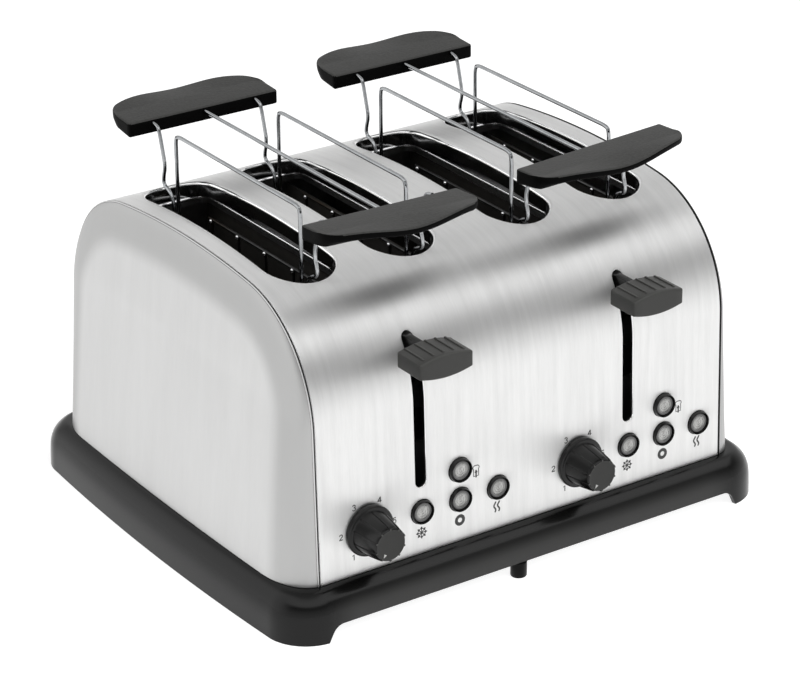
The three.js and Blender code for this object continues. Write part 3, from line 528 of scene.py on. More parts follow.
def unroll(piece, flat):
    """The piece's own map, in tenths of a metre along the sheet."""
    layer = piece.data.uv_layers.new(name="unrolled")
    for corner in piece.data.loops:
        u, v = flat[corner.vertex_index]
        layer.data[corner.index].uv = (u * map_scale, v * map_scale)


def dress(piece, body, material, stands_for=()):
    """Gives a piece its finish, the body it moves with and the solids it stands for."""
    piece.data.materials.clear()
    piece.data.materials.append(material)
    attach(piece, body)
    if stands_for:
        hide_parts(*stands_for)
    return piece


def add_inputs(tree, inputs):
    """Named inputs of a node tree, with their plain values."""
    kinds = {int: "NodeSocketInt", float: "NodeSocketFloat", tuple: "NodeSocketVector"}
    for label, value in inputs.items():
        socket = tree.interface.new_socket(name=label, in_out="INPUT", socket_type=kinds[type(value)])
        socket.default_value = value


def grouped(name, inputs, outputs):
    """A shader group with named inputs and outputs."""
    group = bpy.data.node_groups.new(name, "ShaderNodeTree")
    add_inputs(group, inputs)
    for label in outputs:
        group.interface.new_socket(name=label, in_out="OUTPUT", socket_type="NodeSocketFloat")
    return group, group.nodes.new("NodeGroupInput").outputs, group.nodes.new("NodeGroupOutput").inputs


def noise(tree, place, scale, detail, roughness):
    return add_node(tree, "ShaderNodeTexNoise", {
        "Vector": place, "Scale": scale, "Detail": detail, "Roughness": roughness}).outputs["Fac"]


grain_group, grain_in, grain_out = grouped("brushed_grain", {"Fineness": (1500, 60, 60)}, ["Streaks"])
grain_place = add_node(grain_group, "ShaderNodeVectorMath", {
    0: own_place(grain_group), 1: grain_in["Fineness"]}, operation="MULTIPLY").outputs[0]
grain_fine = noise(grain_group, grain_place, 1.0, 4.0, 0.7)
grain_broad = noise(grain_group, grain_place, 0.12, 2.0, 0.5)
grain_sum = maths(grain_group, "MULTIPLY_ADD", grain_fine, 0.7, grain_broad)
grain_group.links.new(ranged(grain_group, grain_sum, 0.6, 1.1), grain_out["Streaks"])


def shader_for(name, **sockets):
    """A Principled material, with plain values on its sockets."""
    material, tree = empty_material(name)
    skin = add_node(tree, "ShaderNodeBsdfPrincipled", {
        label.replace("_", " "): value for label, value in sockets.items()})
    add_node(tree, "ShaderNodeOutputMaterial", {"Surface": skin.outputs[0]})
    return material, tree, skin


def opened(material):
    """A finished material's tree and its skin."""
    return material.node_tree, material.node_tree.nodes["Principled BSDF"]


def dent(tree, skin, height, depth, strength=1.0):
    """Relief on a skin, from a pattern and its depth in millimetres."""
    bump = add_node(tree, "ShaderNodeBump", {"Height": height, "Distance": depth * MM, "Strength": strength})
    tree.links.new(bump.outputs[0], skin.inputs["Normal"])


def use_group(tree, group, **values):
    return add_node(tree, "ShaderNodeGroup", values, node_tree=group).outputs


def metal(name, dark, light, fineness, rough, relief, stretched=0.0):
    """Brushed or plated steel: streaks in its colour, roughness and relief."""
    material, tree, skin = shader_for(name, Metallic=1.0, Anisotropic=stretched)
    streaks = use_group(tree, grain_group, Fineness=fineness)["Streaks"]
    tree.links.new(mix_colours(tree, streaks, dark, light), skin.inputs["Base Color"])
    tree.links.new(ranged(tree, streaks, 0, 1, rough[1], rough[0]), skin.inputs["Roughness"])
    dent(tree, skin, streaks, relief)
    return material


brushed_steel = metal(
    "brushed_steel", (0.79, 0.79, 0.785), (0.85, 0.85, 0.845), (2300, 130, 130), (0.50, 0.56), 0.0011, 0.88)
brushed_tree, brushed_skin = opened(brushed_steel)
brushed_way = add_node(brushed_tree, "ShaderNodeTangent", direction_type="UV_MAP", uv_map="unrolled")
brushed_tree.links.new(brushed_way.outputs[0], brushed_skin.inputs["Tangent"])
# The collars are painted far darker than the sheet they are pressed from: painted shade down in the slots.
collar_painted_shade = metal("collar_painted_shade", 0.24, 0.34, (90, 90, 900), (0.12, 0.2), 0.0015)
rim_steel = metal("rim_steel", 0.80, 0.88, (90, 90, 900), (0.10, 0.16), 0.0015)
brushed_wrap = mesh_piece("brushed_wrap", wrap_points, wrap_faces)
unroll(brushed_wrap, wrap_flat)
give_wall(brushed_wrap, sheet_thickness, 40)
dress(brushed_wrap, "housing", brushed_steel, ["centre_shell"])
brushed_wrap.data.materials.append(collar_painted_shade)
brushed_wrap.data.materials.append(rim_steel)


def front_depth(y, z):
    """How deep a place lies under the outer face of the front wall or its bend."""
    return y - front_y(z) if z < straight_end else corner_radius - math.hypot(y - corner_y, z - corner_z)


for face in brushed_wrap.data.polygons:
    x, y, z = face.center / MM
    if z > lever_high + lever_roll:
        sunk = arch_point(run_at_depth(y))[1] - z if abs(y) < slot_half_length + slot_roll else 0
        beside = min(abs(x - centre) for centre in slot_centres.values())
        # Faces sunk deep into the bread slots take the collars' painted shade.
        if sunk > collar_start:
            face.material_index = 1
        elif sunk > rim_start and beside < slot_half_width + slot_roll:
            face.material_index = 2
    elif abs(abs(x) - lever_x) < lever_half_width + lever_roll:
        if rim_start < front_depth(y, z) < 2 * lever_rim_depth:
            face.material_index = 2


# The end panels: deep pressed pans of satin stainless. Their borders round over from the seam, and the
# face crowns a little and leans in to the top. They are closed by the seam's folded lips.
sides = ((-1, "left"), (1, "right"))
panel_start = 137.4
panel_lip = [(0.0, 1.5), (0.0, 0.5), (0.12, 0.15), (0.4, 0.0), (0.75, 0.02), (1.0, 0.25), (1.08, 0.55)]
# The lip's first rows, up to these levels, are painted near black: a painted shadow in the seam.
seam_shadow_levels = 3
panel_border = 30.0
panel_depth = 16.8
panel_crown = 2.8
panel_taper = 0.75
panel_insets = [0.75, 0.8, 0.95, 1.2, 1.6, 2.3, 3.2, 4.6, 6.3, 8.3, 10.6, 13.2, 16, 19, 22, 25, 28, 31, 35,
                40, 46, 53, 60]
panel_shrinks = [0.86, 0.72, 0.58, 0.44, 0.3, 0.16]
panel_runs = [2 * half_run * step / 150 for step in range(151)]
# The border band within this inset is painted darker grey, fading out over the next span: painted shade on
# the rounded border.
painted_shade_reach = 27
painted_shade_fade = 9
arch_line = np.array([arch_point(run) for run in np.linspace(0, 2 * half_run, 900)])


def panel_height(y, z):
    """How far the panel stands out at a place, and how far that place is from the arch's edge."""
    inset = float(np.hypot(arch_line[:, 0] - y, arch_line[:, 1] - z).min())
    rise = min(max(inset - panel_insets[0], 0) / panel_border, 1)
    reach = panel_depth * math.sqrt(1 - (1 - rise) ** 2)
    reach += panel_crown * (1 - (1 - min(inset / wall_y, 1)) ** 2)
    return reach * (1 - panel_taper * (z - wall_foot) / (body_top - wall_foot)), inset


def panel_ring(inset, shrink=1.0):
    """The panel's outline at an inset from the arch, drawn in to the middle of its foot."""
    ring = [arch_point(run, inset) for run in panel_runs]
    ring[0], ring[-1] = (ring[0][0], wall_start), (ring[-1][0], wall_start)
    return [(y * shrink, wall_start + (z - wall_start) * shrink) for y, z in ring]


def recolour(tree, skin, share, colour):
    """Another colour over a skin's own, by a share."""
    own = skin.inputs["Base Color"].links[0].from_socket
    tree.links.new(mix_colours(tree, share, own, colour), skin.inputs["Base Color"])


satin_steel = metal(
    "satin_steel", (0.575, 0.575, 0.572), (0.595, 0.595, 0.592), (700, 700, 60), (0.38, 0.42), 0.0008, 0.3)
satin_tree, satin_skin = opened(satin_steel)
# The border attribute carries painted shade: darker grey over the rounded border band, and a near-black
# painted shadow on the seam's lip.
satin_painted_shade = add_node(satin_tree, "ShaderNodeAttribute", attribute_name="border").outputs["Fac"]
recolour(satin_tree, satin_skin, satin_painted_shade, (0.43, 0.43, 0.427))
recolour(satin_tree, satin_skin, ranged(satin_tree, satin_painted_shade, -0.2, -0.8), 0.04)
panel_rings = [panel_ring(inset) for inset in [inset for reach, inset in panel_lip] + panel_insets]
panel_rings += [panel_ring(panel_insets[-1], shrink) for shrink in panel_shrinks]
for side, name in sides:
    panel_points = []
    panel_flat = []
    panel_painted_shade = []
    for level, places in enumerate(panel_rings):
        for y, z in places:
            reach, inset = panel_height(y, z)
            if level < len(panel_lip):
                reach = panel_lip[level][0]
                panel_painted_shade.append(-1 if level <= seam_shadow_levels else 0)
            else:
                reach = math.hypot(reach, panel_lip[-1][0])
                panel_painted_shade.append(min(max((painted_shade_reach - inset) / painted_shade_fade, 0), 1))
            panel_points.append((side * (panel_start + reach), y, z))
            panel_flat.append((y, z))
    panel_points.append((side * (panel_start + panel_height(0, wall_start)[0]), 0, wall_start))
    panel_flat.append((0, wall_start))
    panel_painted_shade.append(0)
    count = len(panel_runs)
    tail = (len(panel_rings) - 1) * count
    panel_faces = [[i, i + count, i + count + 1, i + 1] for start in range(0, tail, count)
                   for i in range(start, start + count - 1)]
    panel_faces += [[tail + i, len(panel_points) - 1, tail + i + 1] for i in range(count - 1)]
    panel = mesh_piece(f"{name}_satin_panel", panel_points, [face[::side] for face in panel_faces])
    unroll(panel, panel_flat)
    border = panel.data.attributes.new("border", "FLOAT", "POINT")
    border.data.foreach_set("value", panel_painted_shade)
    give_wall(panel, sheet_thickness, 50)
    dress(panel, "housing", satin_steel, [f"{name}_end_panel"])


# The base plinth: one black moulding whose shoulder rounds in to a flat deck under the body. Its skirt
# is raised 9.4 between broad corner feet at the front and back, and two tray ways are open behind.
plinth_half_x = 164
plinth_half_y = 145
plinth_corner = 26
plinth_bow = 4
plinth_profile = [(0, 0), (9.0, 0.25), (15.2, 0.8), (19.4, 2.1), (22.8, 4.3), (25.2, 6.8), (26.6, 8.8),
                  (wall_foot, 10.4)]
plinth_wall = 2.8
plinth_grid_x = 130
skirt_rise = 9.4
skirt_rise_x = 131
skirt_foot_x = 139
tray_way_x = (15.15, 127.75)
tray_way_z = (11.4, 22.4)
tray_way_slack = 0.1
tray_way_shares = [(z - skirt_rise) / (wall_foot - skirt_rise) for z in tray_way_z]
plinth_rise_shares = [0, 0.03, tray_way_shares[0], 0.24, 0.38, 0.5, 0.61, tray_way_shares[1], 0.79, 0.84,
                      0.88, 0.915, 0.945, 0.968, 0.985, 0.995, 1]
deck_shrinks = [0.985, 0.95, 0.88]
# Between the feet at the front and back, the skirt's lower band is painted paler: painted light.
painted_light_high = 27
painted_light_low = 11
painted_light_middle = 118
painted_light_end = 142


def smooth_profile(rows, at):
    """A smooth curve through rows of (place, value), read at a place."""
    index = max(i for i in range(len(rows) - 1) if i == 0 or at > rows[i][0])
    before, first, last = rows[max(index - 1, 0)], rows[index], rows[index + 1]
    after = rows[min(index + 2, len(rows) - 1)]
    span = last[0] - first[0]
    t = min(max((at - first[0]) / span, 0), 1)
    rise_in = (last[1] - before[1]) / (last[0] - before[0]) * span
    rise_out = (after[1] - first[1]) / (after[0] - first[0]) * span
    return (first[1] * (2 * t ** 3 - 3 * t ** 2 + 1) + rise_in * (t ** 3 - 2 * t ** 2 + t)
            + last[1] * (3 * t ** 2 - 2 * t ** 3) + rise_out * (t ** 3 - t ** 2))


def plinth_plan(inset):
    """The skirt's outline at an inset, with the same points at every height."""
    half_x, half_y, radius = plinth_half_x - inset, plinth_half_y - inset, plinth_corner - inset
    flat = plinth_half_x - plinth_corner
    half_front = [*tray_way_x, *np.linspace(skirt_rise_x, flat, 9)]
    front = sorted({*np.linspace(-plinth_grid_x, plinth_grid_x, 53), *half_front, *(-x for x in half_front)})
    side = [(half_x + plinth_bow * (1 - t * t), t * (half_y - radius)) for t in np.linspace(-1, 1, 25)[1:-1]]
    front = [(x, -half_y) for x in front[1:-1]]
    plan = []
    for sign_x, sign_y, start, line in ((1, -1, -0.5, side), (1, 1, 0, [(-x, -y) for x, y in front]),
                                        (-1, 1, 0.5, [(-x, -y) for x, y in side]), (-1, -1, 1, front)):
        for step in range(19):
            x, y = polar(radius, math.pi * (start + step / 36))
            plan.append((sign_x * (half_x - radius) + x, sign_y * (half_y - radius) + y))
        plan += line
    return plan


def skirt_edge(x):
    """The height of the skirt's lower edge: raised between the feet, with a quarter-round step."""
    over = (abs(x) - skirt_rise_x) / (skirt_foot_x - skirt_rise_x)
    return skirt_rise * math.sqrt(max(1 - max(over, 0) ** 2, 0)) if over < 1 else 0.0


plinth_points = []
foot_plan = plinth_plan(0)
count = len(foot_plan)
plans = {}
for share in plinth_rise_shares:
    for index in range(count):
        low = skirt_edge(foot_plan[index][0])
        z = low + (wall_foot - low) * share
        if z not in plans:
            plans[z] = plinth_plan(smooth_profile(plinth_profile, z))
        plinth_points.append((*plans[z][index], z))
deck_plan = plinth_plan(plinth_profile[-1][1])
for shrink in deck_shrinks:
    plinth_points += [(x * shrink, y * shrink, wall_foot) for x, y in deck_plan]
plinth_faces = []
for start in range(0, len(plinth_points) - count, count):
    for face in band(range(start, start + count), range(start + count, start + 2 * count)):
        a, b, top = (plinth_points[face[corner]] for corner in (0, 1, 3))
        way = a[1] > 0 and b[1] > 0 and tray_way_x[0] < abs(a[0] + b[0]) / 2 < tray_way_x[1]
        way = way and a[2] > tray_way_z[0] - tray_way_slack and top[2] < tray_way_z[1] + tray_way_slack
        if not way:
            plinth_faces.append(face)

moulded_group, moulded_in, moulded_out = grouped("moulded_grain", {"Grain": 1500.0}, ["Height", "Patches"])
moulded_cells = noise(moulded_group, own_place(moulded_group), moulded_in["Grain"], 2.0, 0.6)
moulded_group.links.new(moulded_cells, moulded_out["Height"])
moulded_patches = noise(moulded_group, own_place(moulded_group), 22.0, 3.0, 0.55)
moulded_group.links.new(moulded_patches, moulded_out["Patches"])
worn_group, worn_in, worn_out = grouped("worn_edges", {"Start": 0.52}, ["Edges"])
worn_edge = add_node(worn_group, "ShaderNodeNewGeometry").outputs["Pointiness"]
worn_end = maths(worn_group, "ADD", worn_in["Start"], 0.09)
worn_group.links.new(ranged(worn_group, worn_edge, worn_in["Start"], worn_end), worn_out["Edges"])
dust_group, dust_in, dust_out = grouped("settled_dust", {"Amount": 0.5}, ["Dust"])
dust_normal = add_node(dust_group, "ShaderNodeNewGeometry").outputs["Normal"]
dust_level = ranged(dust_group, parts(dust_group, dust_normal)["Z"], 0.3, 1.0)
dust_noise = noise(dust_group, own_place(dust_group), 90.0, 5.0, 0.7)
dust_thin = maths(dust_group, "MULTIPLY", dust_level, dust_noise)
dust_group.links.new(maths(dust_group, "MULTIPLY", dust_thin, dust_in["Amount"]), dust_out["Dust"])


def plastic(name, dark, light, rough, grain, relief, sheen=0.5, dust=0.03, tone="Patches", rubbed=None,
            strength=1.0):
    """Moulded plastic: uneven tone, rubbed edges, thin dust on what faces up, and a fine moulded grain."""
    material, tree, skin = shader_for(name, Specular_IOR_Level=sheen)
    moulded = use_group(tree, moulded_group, Grain=grain)
    worn = use_group(tree, worn_group)["Edges"]
    body = mix_colours(tree, moulded[tone], dark, light)
    edged = mix_colours(tree, worn, body, rubbed or np.multiply(light, 1.5))
    dusty = mix_colours(tree, use_group(tree, dust_group, Amount=dust)["Dust"], edged, (0.30, 0.29, 0.27))
    tree.links.new(dusty, skin.inputs["Base Color"])
    tree.links.new(ranged(tree, moulded["Patches"], 0, 1, *rough), skin.inputs["Roughness"])
    dent(tree, skin, moulded["Height"], relief, strength)
    return material


plinth_black = plastic(
    "plinth_black", 0.002, (0.004, 0.004, 0.0039), (0.15, 0.22), 2200.0, 0.004, 0.27, 0.005)
plinth_tree, plinth_skin = opened(plinth_black)
plinth_axes = parts(plinth_tree, own_place(plinth_tree))
# Painted light: paler toward the bottom of the skirt, fading out toward the corners.
painted_light_rise = ranged(
    plinth_tree, plinth_axes["Z"], painted_light_high * MM, painted_light_low * MM, interpolation_type="SMOOTHSTEP")
painted_light_run = ranged(plinth_tree, maths(plinth_tree, "ABSOLUTE", plinth_axes["X"]), painted_light_end * MM,
                     painted_light_middle * MM, interpolation_type="SMOOTHSTEP")
painted_light_share = maths(plinth_tree, "MULTIPLY", painted_light_rise, painted_light_run)
recolour(plinth_tree, plinth_skin, painted_light_share, (0.045, 0.045, 0.044))
base_plinth = mesh_piece("moulded_plinth", plinth_points, plinth_faces)
give_wall(base_plinth, plinth_wall, 35)
for vertex in base_plinth.data.vertices:
    vertex.co.z = max(vertex.co.z, 0)
dress(base_plinth, "housing", plinth_black, ["base_plinth"])


# The middle foot and the cord gland: two small turned mouldings. The foot is a rubber-black peg under
# the front skirt, and the gland is a flanged collar in the back wall with an open bore.
foot_profile = [(0, 0), (3.9, 0), (4.4, 0.2), (4.7, 0.7), (4.7, 8.9), (4.5, 9.1), (0, 9.1)]
foot_place = (-13, -141.4, 0)
peg_black = plastic("peg_black", 0.002, 0.004, (0.3, 0.42), 1800.0, 0.01, 0.1, 0.004)
centre_foot = turned("moulded_peg", foot_profile, foot_place)
dress(centre_foot, "housing", peg_black, ["centre_foot"])
gland_profile = [(3.8, -134.2), (9.2, -134.2), (9.8, -133.9), (10, -133.4), (10, -131.5), (9.7, -131.2),
                 (7, -131.2), (7, -127.0), (7.25, -126.4), (7.25, -121), (6.6, -118.9), (3.8, -118.9)]
gland_black = plastic("gland_black", 0.008, 0.012, (0.4, 0.55), 1800.0, 0.015)
cord_gland = turned("moulded_gland", gland_profile, (0, 0, gland_z), "y", looped=True)
dress(cord_gland, "housing", gland_black, ["cord_gland"])


# The browning dials: skirted black knobs whose tapered grip carries ten thin raised ridges round a flat
# face, each with a small white pointer. Their digits are printed on the wall round them.
dial_back = 131.34
dial_front = 152.94
dial_face = 152.6
dial_profile = [(0, 117.4), (2.6, 117.4), (3, 117.8), (3, dial_back), (14.2, dial_back), (14.65, 131.55),
                (14.8, 131.95), (14.8, 133.5), (14.65, 134.0), (14.2, 134.4), (13.6, 134.54), (12.75, 134.6),
                (12.3, 134.85), (12.05, 135.4), (11.7, 139), (11.2, 143), (10.6, 147), (9.95, 150.6),
                (9.6, 152.0), (9.3, 152.6), (8.8, dial_front), (8.2, 152.86), (7.4, 152.78), (4.5, 152.76),
                (0, 152.76)]
ridge_line = [(135.0, 12.5), (139, 12.1), (143, 11.6), (147, 11.0), (150.6, 10.4), (152.4, 10.05),
              (dial_front, 9.75)]
ridge_count = 10
ridge_half_width = 0.5
ridge_root = 1.2
ridge_edge = 0.25
dial_label_radius = 17.2
dial_label_turns = {"1": 236, "2": 180, "3": 119, "4": 62, "5": 0, "6": -60}
label_stroke = 0.58
label_lines = {
    "1": [[(-0.7, 0.9), (0.3, 1.65), (0.3, -1.65)]],
    "2": [[(-1, 0.8), (-0.6, 1.45), (0, 1.65), (0.7, 1.4), (0.95, 0.75), (0.6, 0.1), (-0.2, -0.6),
           (-1, -1.5)], [(-1.15, -1.5), (1.1, -1.5)]],
    "3": [[(-0.95, 1.1), (-0.4, 1.6), (0.3, 1.6), (0.85, 1.1), (0.6, 0.4), (-0.1, 0.15)],
          [(-0.1, 0.15), (0.7, -0.1), (1, -0.75), (0.6, -1.4), (0, -1.65), (-0.6, -1.5), (-1, -0.95)]],
    "4": [[(0.5, -1.65), (0.5, 1.65)], [(0.5, 1.6), (-1.1, -0.7)], [(-1.25, -0.75), (1.2, -0.75)]],
    "5": [[(1, 1.55), (-0.75, 1.55)], [(-0.65, 1.6), (-0.85, 0.15)],
          [(-0.85, 0.1), (-0.2, 0.5), (0.5, 0.4), (1, -0.3), (0.9, -1.1), (0.2, -1.65), (-0.5, -1.55),
           (-1, -1)]],
    "6": [[(0.9, 1.2), (0.3, 1.6), (-0.4, 1.5), (-0.95, 0.7), (-1, -0.6), (-0.6, -1.4), (0, -1.65),
           (0.7, -1.4), (1, -0.6), (0.6, 0.15), (-0.1, 0.3), (-0.85, -0.2)]],
}
ink_lift = 0.02
ink_depth = 0.05
pointer_turn = math.radians(236)
pointer_shape = [(5.9, -0.9), (8.1, 0), (5.9, 0.9)]
pointer_levels = (152.74, 152.90)


def geometry_tree(name, inputs):
    """A geometry tree with its mesh in and out, and named inputs for its sizes and its finish."""
    tree = bpy.data.node_groups.new(name, "GeometryNodeTree")
    tree.interface.new_socket(name="Mesh", in_out="INPUT", socket_type="NodeSocketGeometry")
    add_inputs(tree, inputs)
    tree.interface.new_socket(name="Finish", in_out="INPUT", socket_type="NodeSocketMaterial")
    tree.interface.new_socket(name="Mesh", in_out="OUTPUT", socket_type="NodeSocketGeometry")
    return tree, tree.nodes.new("NodeGroupInput").outputs, tree.nodes.new("NodeGroupOutput").inputs


def end_tree(tree, shape, tree_in, tree_out):
    """The tree's end: instances made real, and the piece's finish on them."""
    real = add_node(tree, "GeometryNodeRealizeInstances", {0: shape.outputs[0]})
    coloured = add_node(tree, "GeometryNodeSetMaterial", {
        "Geometry": real.outputs[0], "Material": tree_in["Finish"]})
    tree.links.new(coloured.outputs[0], tree_out["Mesh"])


def grown(piece, tree, bend=32, **values):
    """The piece with a geometry tree applied to it, its inputs set by name."""
    modifier = piece.modifiers.new(tree.name, "NODES")
    modifier.node_group = tree
    for socket in tree.interface.items_tree:
        if socket.in_out == "INPUT" and socket.name in values:
            modifier[socket.identifier] = values[socket.name]
    return settle(piece, bend)


def moved(piece, place):
    """The piece with its points moved by a place in millimetres."""
    for vertex in piece.data.vertices:
        vertex.co += Vector(place) * MM
    return piece


def face_outward(piece):
    """Turns the faces of closed shells so that they all look out."""
    shape = bmesh.new()
    shape.from_mesh(piece.data)
    bmesh.ops.recalc_face_normals(shape, faces=shape.faces)
    shape.to_mesh(piece.data)
    shape.free()
    return piece


def joined(name, pieces):
    """One piece from several, which are taken away."""
    points = []
    faces = []
    for piece in pieces:
        start = len(points)
        points += [tuple(v.co) for v in piece.data.vertices]
        faces += [[start + i for i in face.vertices] for face in piece.data.polygons]
        bpy.data.objects.remove(piece)
    return settle(face_outward(mesh_piece(name, points, faces, 1)), 32)


def bar_loft(name, sections, looped=False):
    """A closed bar through rings of points, its two ends capped, or joined where it is looped."""
    count = len(sections[0])
    points = [point for section in sections for point in section]
    rings = [list(range(start, start + count)) for start in range(0, len(points), count)]
    faces = [] if looped else [rings[0][::-1], rings[-1]]
    for low, high in zip(rings, rings[1:] + (rings[:1] if looped else [])):
        faces += band(low, high)
    return face_outward(mesh_piece(name, points, faces))


def ridge_bar(rows, half, edge):
    """A thin raised bar with the edges of its crest cut. Its rows are (along, root, top)."""
    return bar_loft("ridge", [
        [(-half, -along, root), (half, -along, root), (half, -along, top - edge), (half / 2, -along, top),
         (-half / 2, -along, top), (-half, -along, top - edge)] for along, root, top in rows])


def swung(points, turn, centre):
    """Flat points turned round 0, 0 and then moved to a centre."""
    along, up = polar(1, turn)
    return [(centre[0] + x * along - y * up, centre[1] + x * up + y * along) for x, y in points]


def stroke(points, width, looped=False):
    """A printed line on the front wall: points in x, z, drawn as one closed thin solid."""
    sections = []
    for index, (x, z) in enumerate(points):
        before = points[index - 1] if looped or index else points[index]
        after = points[(index + 1) % len(points)] if looped or index < len(points) - 1 else points[index]
        way = Vector((after[0] - before[0], after[1] - before[1])).normalized() * width / 2
        section = []
        for sign, lift in ((-1, 0), (1, 0), (1, ink_depth), (-1, ink_depth)):
            edge_z = z - sign * way.x
            section.append((x + sign * way.y, front_y(edge_z) - ink_lift - lift, edge_z))
        sections.append(section)
    return bar_loft("stroke", sections, looped)


def speckled(name, dark, light, grain, tone="Height", relief=0.0, **sockets):
    """A plain finish whose tone varies a little from place to place."""
    material, tree, skin = shader_for(name, **sockets)
    moulded = use_group(tree, moulded_group, Grain=grain)
    tree.links.new(mix_colours(tree, moulded[tone], dark, light), skin.inputs["Base Color"])
    if relief:
        dent(tree, skin, moulded["Height"], relief)
    return material


ring_tree, ring_in, ring_out = geometry_tree("ring_of_ridges", {"Count": 10})
ring_points = add_node(ring_tree, "GeometryNodeMeshLine", {
    "Count": ring_in["Count"], "Offset": (0, 0, 0)}, mode="OFFSET")
ring_index = add_node(ring_tree, "GeometryNodeInputIndex").outputs[0]
ring_step = maths(ring_tree, "DIVIDE", 2 * math.pi, ring_in["Count"])
ring_turn = maths(ring_tree, "MULTIPLY", ring_index, ring_step)
ring_angle = add_node(ring_tree, "ShaderNodeCombineXYZ", {"Y": ring_turn})
ring_copies = add_node(ring_tree, "GeometryNodeInstanceOnPoints", {
    "Points": ring_points.outputs[0], "Instance": ring_in["Mesh"], "Rotation": ring_angle.outputs[0]})
end_tree(ring_tree, ring_copies, ring_in, ring_out)

dial_black = plastic("dial_black", 0.004, (0.007, 0.007, 0.0068), (0.18, 0.26), 2600.0, 0.003, 0.3, 0.004)
# The flat front face is painted paler than the black sides: painted light, with a rougher satin finish.
dial_satin = plastic(
    "dial_satin", (0.050, 0.050, 0.0485), (0.060, 0.060, 0.058), (0.42, 0.5), 2600.0, 0.008, 0.15)
print_black = speckled("print_black", 0.03, 0.06, 900.0, Roughness=0.5)
pointer_white = speckled("pointer_white", (0.62, 0.62, 0.6), (0.8, 0.8, 0.78), 900.0, Roughness=0.4)
for side, name in sides:
    dial_centre = (side * lever_x + dial_offset, control_z)
    knob = turned("knob", dial_profile, (0, 0, 0), "y", 96)
    ridge_rows = [(along, top - ridge_root, top) for along, top in ridge_line]
    ridges = grown(ridge_bar(ridge_rows, ridge_half_width, ridge_edge), ring_tree, Count=ridge_count,
                   Finish=dial_black)
    dial = moved(joined(f"{name}_dial_knob", [knob, ridges]), (dial_centre[0], 0, control_z))
    dress(dial, f"{name}_dial", dial_black, [f"{name}_browning_dial"])
    dial.data.materials.append(dial_satin)
    # Flat faces looking straight out at the front take the face's painted light.
    for face in dial.data.polygons:
        if -face.center.y / MM > dial_face and face.normal.y < -0.9:
            face.material_index = 1
    corners = swung(pointer_shape, pointer_turn, dial_centre)
    pointer = settle(bar_loft(f"{name}_dial_pointer", [[(x, -along, z) for x, z in corners]
                                                       for along in pointer_levels]))
    dress(pointer, f"{name}_dial", pointer_white)
    labels = []
    for text, turn in dial_label_turns.items():
        label_centre = np.add(dial_centre, polar(dial_label_radius, math.radians(turn)))
        labels += [stroke(swung(line, 0, label_centre), label_stroke) for line in label_lines[text]]
    dress(joined(f"{name}_dial_digits", labels), "housing", print_black)


# The push buttons: each a black glossy ring round a smoked clear lens with fine turned ripples. Beside
# them the wall carries small printed icons: a frost flake, a ring, a slice with an arrow and two waves.
button_front = 133.14
ring_profile = [(0, 116), (2.6, 116), (3, 116.4), (3, 124.54), (6.7, 124.54), (7.0, 124.9), (7.05, 131.0),
                (7, 131.8), (6.9, 132.5), (6.78, 132.95), (6.6, button_front), (6.42, 133.08), (6.32, 132.7),
                (6.26, 132.2), (6.18, 132.05), (6.1, 132.1), (6.05, 131.7), (6, 130.6), (0, 130.6)]
lens_radius = 5.85
lens_base = 130.75
lens_crest = 132.0
lens_dish = 0.5
lens_edge = 0.5
lens_ripples = 4
ripple_height = 0.13
lens_rows = 48
icon_stroke = 0.5
arrow_stroke = 0.6
bold_stroke = 0.95
hoop_stroke = 1.95
icon_centres = [(-0.5, 40), (25, 40), (36.3, 66.5), (49.8, 40.9)]
flake_arm = [(0, 0), (3.6, 0)]
flake_barb = [(2.1, -0.6), (3.1, 0), (2.1, 0.6)]
hoop_radius = 2.4
slice_crust = [(-1.7, -2.9), (1.7, -2.9), (1.7, 1.2), (2.2, 2.0), (1.9, 2.9), (1.0, 3.4), (-1.0, 3.4),
               (-1.9, 2.9), (-2.2, 2.0), (-1.7, 1.2)]
arrow_shaft = [(0, -3.8), (0, 0.6)]
arrow_head = [(-0.8, -0.9), (0, 0.6), (0.8, -0.9)]
wave_apart = 1.25
wave_swing = 0.6
wave_height = 6.4
button_black = plastic("button_black", 0.003, 0.005, (0.14, 0.2), 2400.0, 0.003, 0.3)
lens_grey = speckled("lens_grey", (0.30, 0.30, 0.29), (0.46, 0.46, 0.45), 500.0, "Patches", 0.003,
                     Metallic=0.85, Roughness=0.16, Coat_Weight=0.5, Coat_Roughness=0.04)
lens_tree, lens_skin = opened(lens_grey)
lens_reach = add_node(lens_tree, "ShaderNodeAttribute", attribute_name="reach").outputs["Fac"]
recolour(lens_tree, lens_skin, ranged(lens_tree, lens_reach, 0.5, 0.85), 0.07)


def icon_strokes(middle):
    """The four icons of one side, round the middle of its controls."""
    flake, hoop, toast, waves = [(middle + x, z) for x, z in icon_centres]
    lines = []
    for turn in (math.pi * arm / 4 for arm in range(8)):
        lines.append(stroke(swung(flake_arm, turn, flake), icon_stroke))
        lines.append(stroke(swung(flake_barb, turn, flake), bold_stroke))
    lines.append(stroke(swung(circle_outline(hoop_radius), 0, hoop), hoop_stroke, True))
    lines.append(stroke(swung(slice_crust, 0, toast), icon_stroke, True))
    lines.append(stroke(swung(arrow_shaft, 0, toast), bold_stroke))
    lines.append(stroke(swung(arrow_head, 0, toast), arrow_stroke))
    for shift in (-wave_apart, wave_apart):
        wave = [(shift + wave_swing * math.sin(2 * math.pi * i / 16), wave_height * (i / 20 - 0.5))
                for i in range(21)]
        lines.append(stroke(swung(wave, 0, waves), bold_stroke))
    return lines


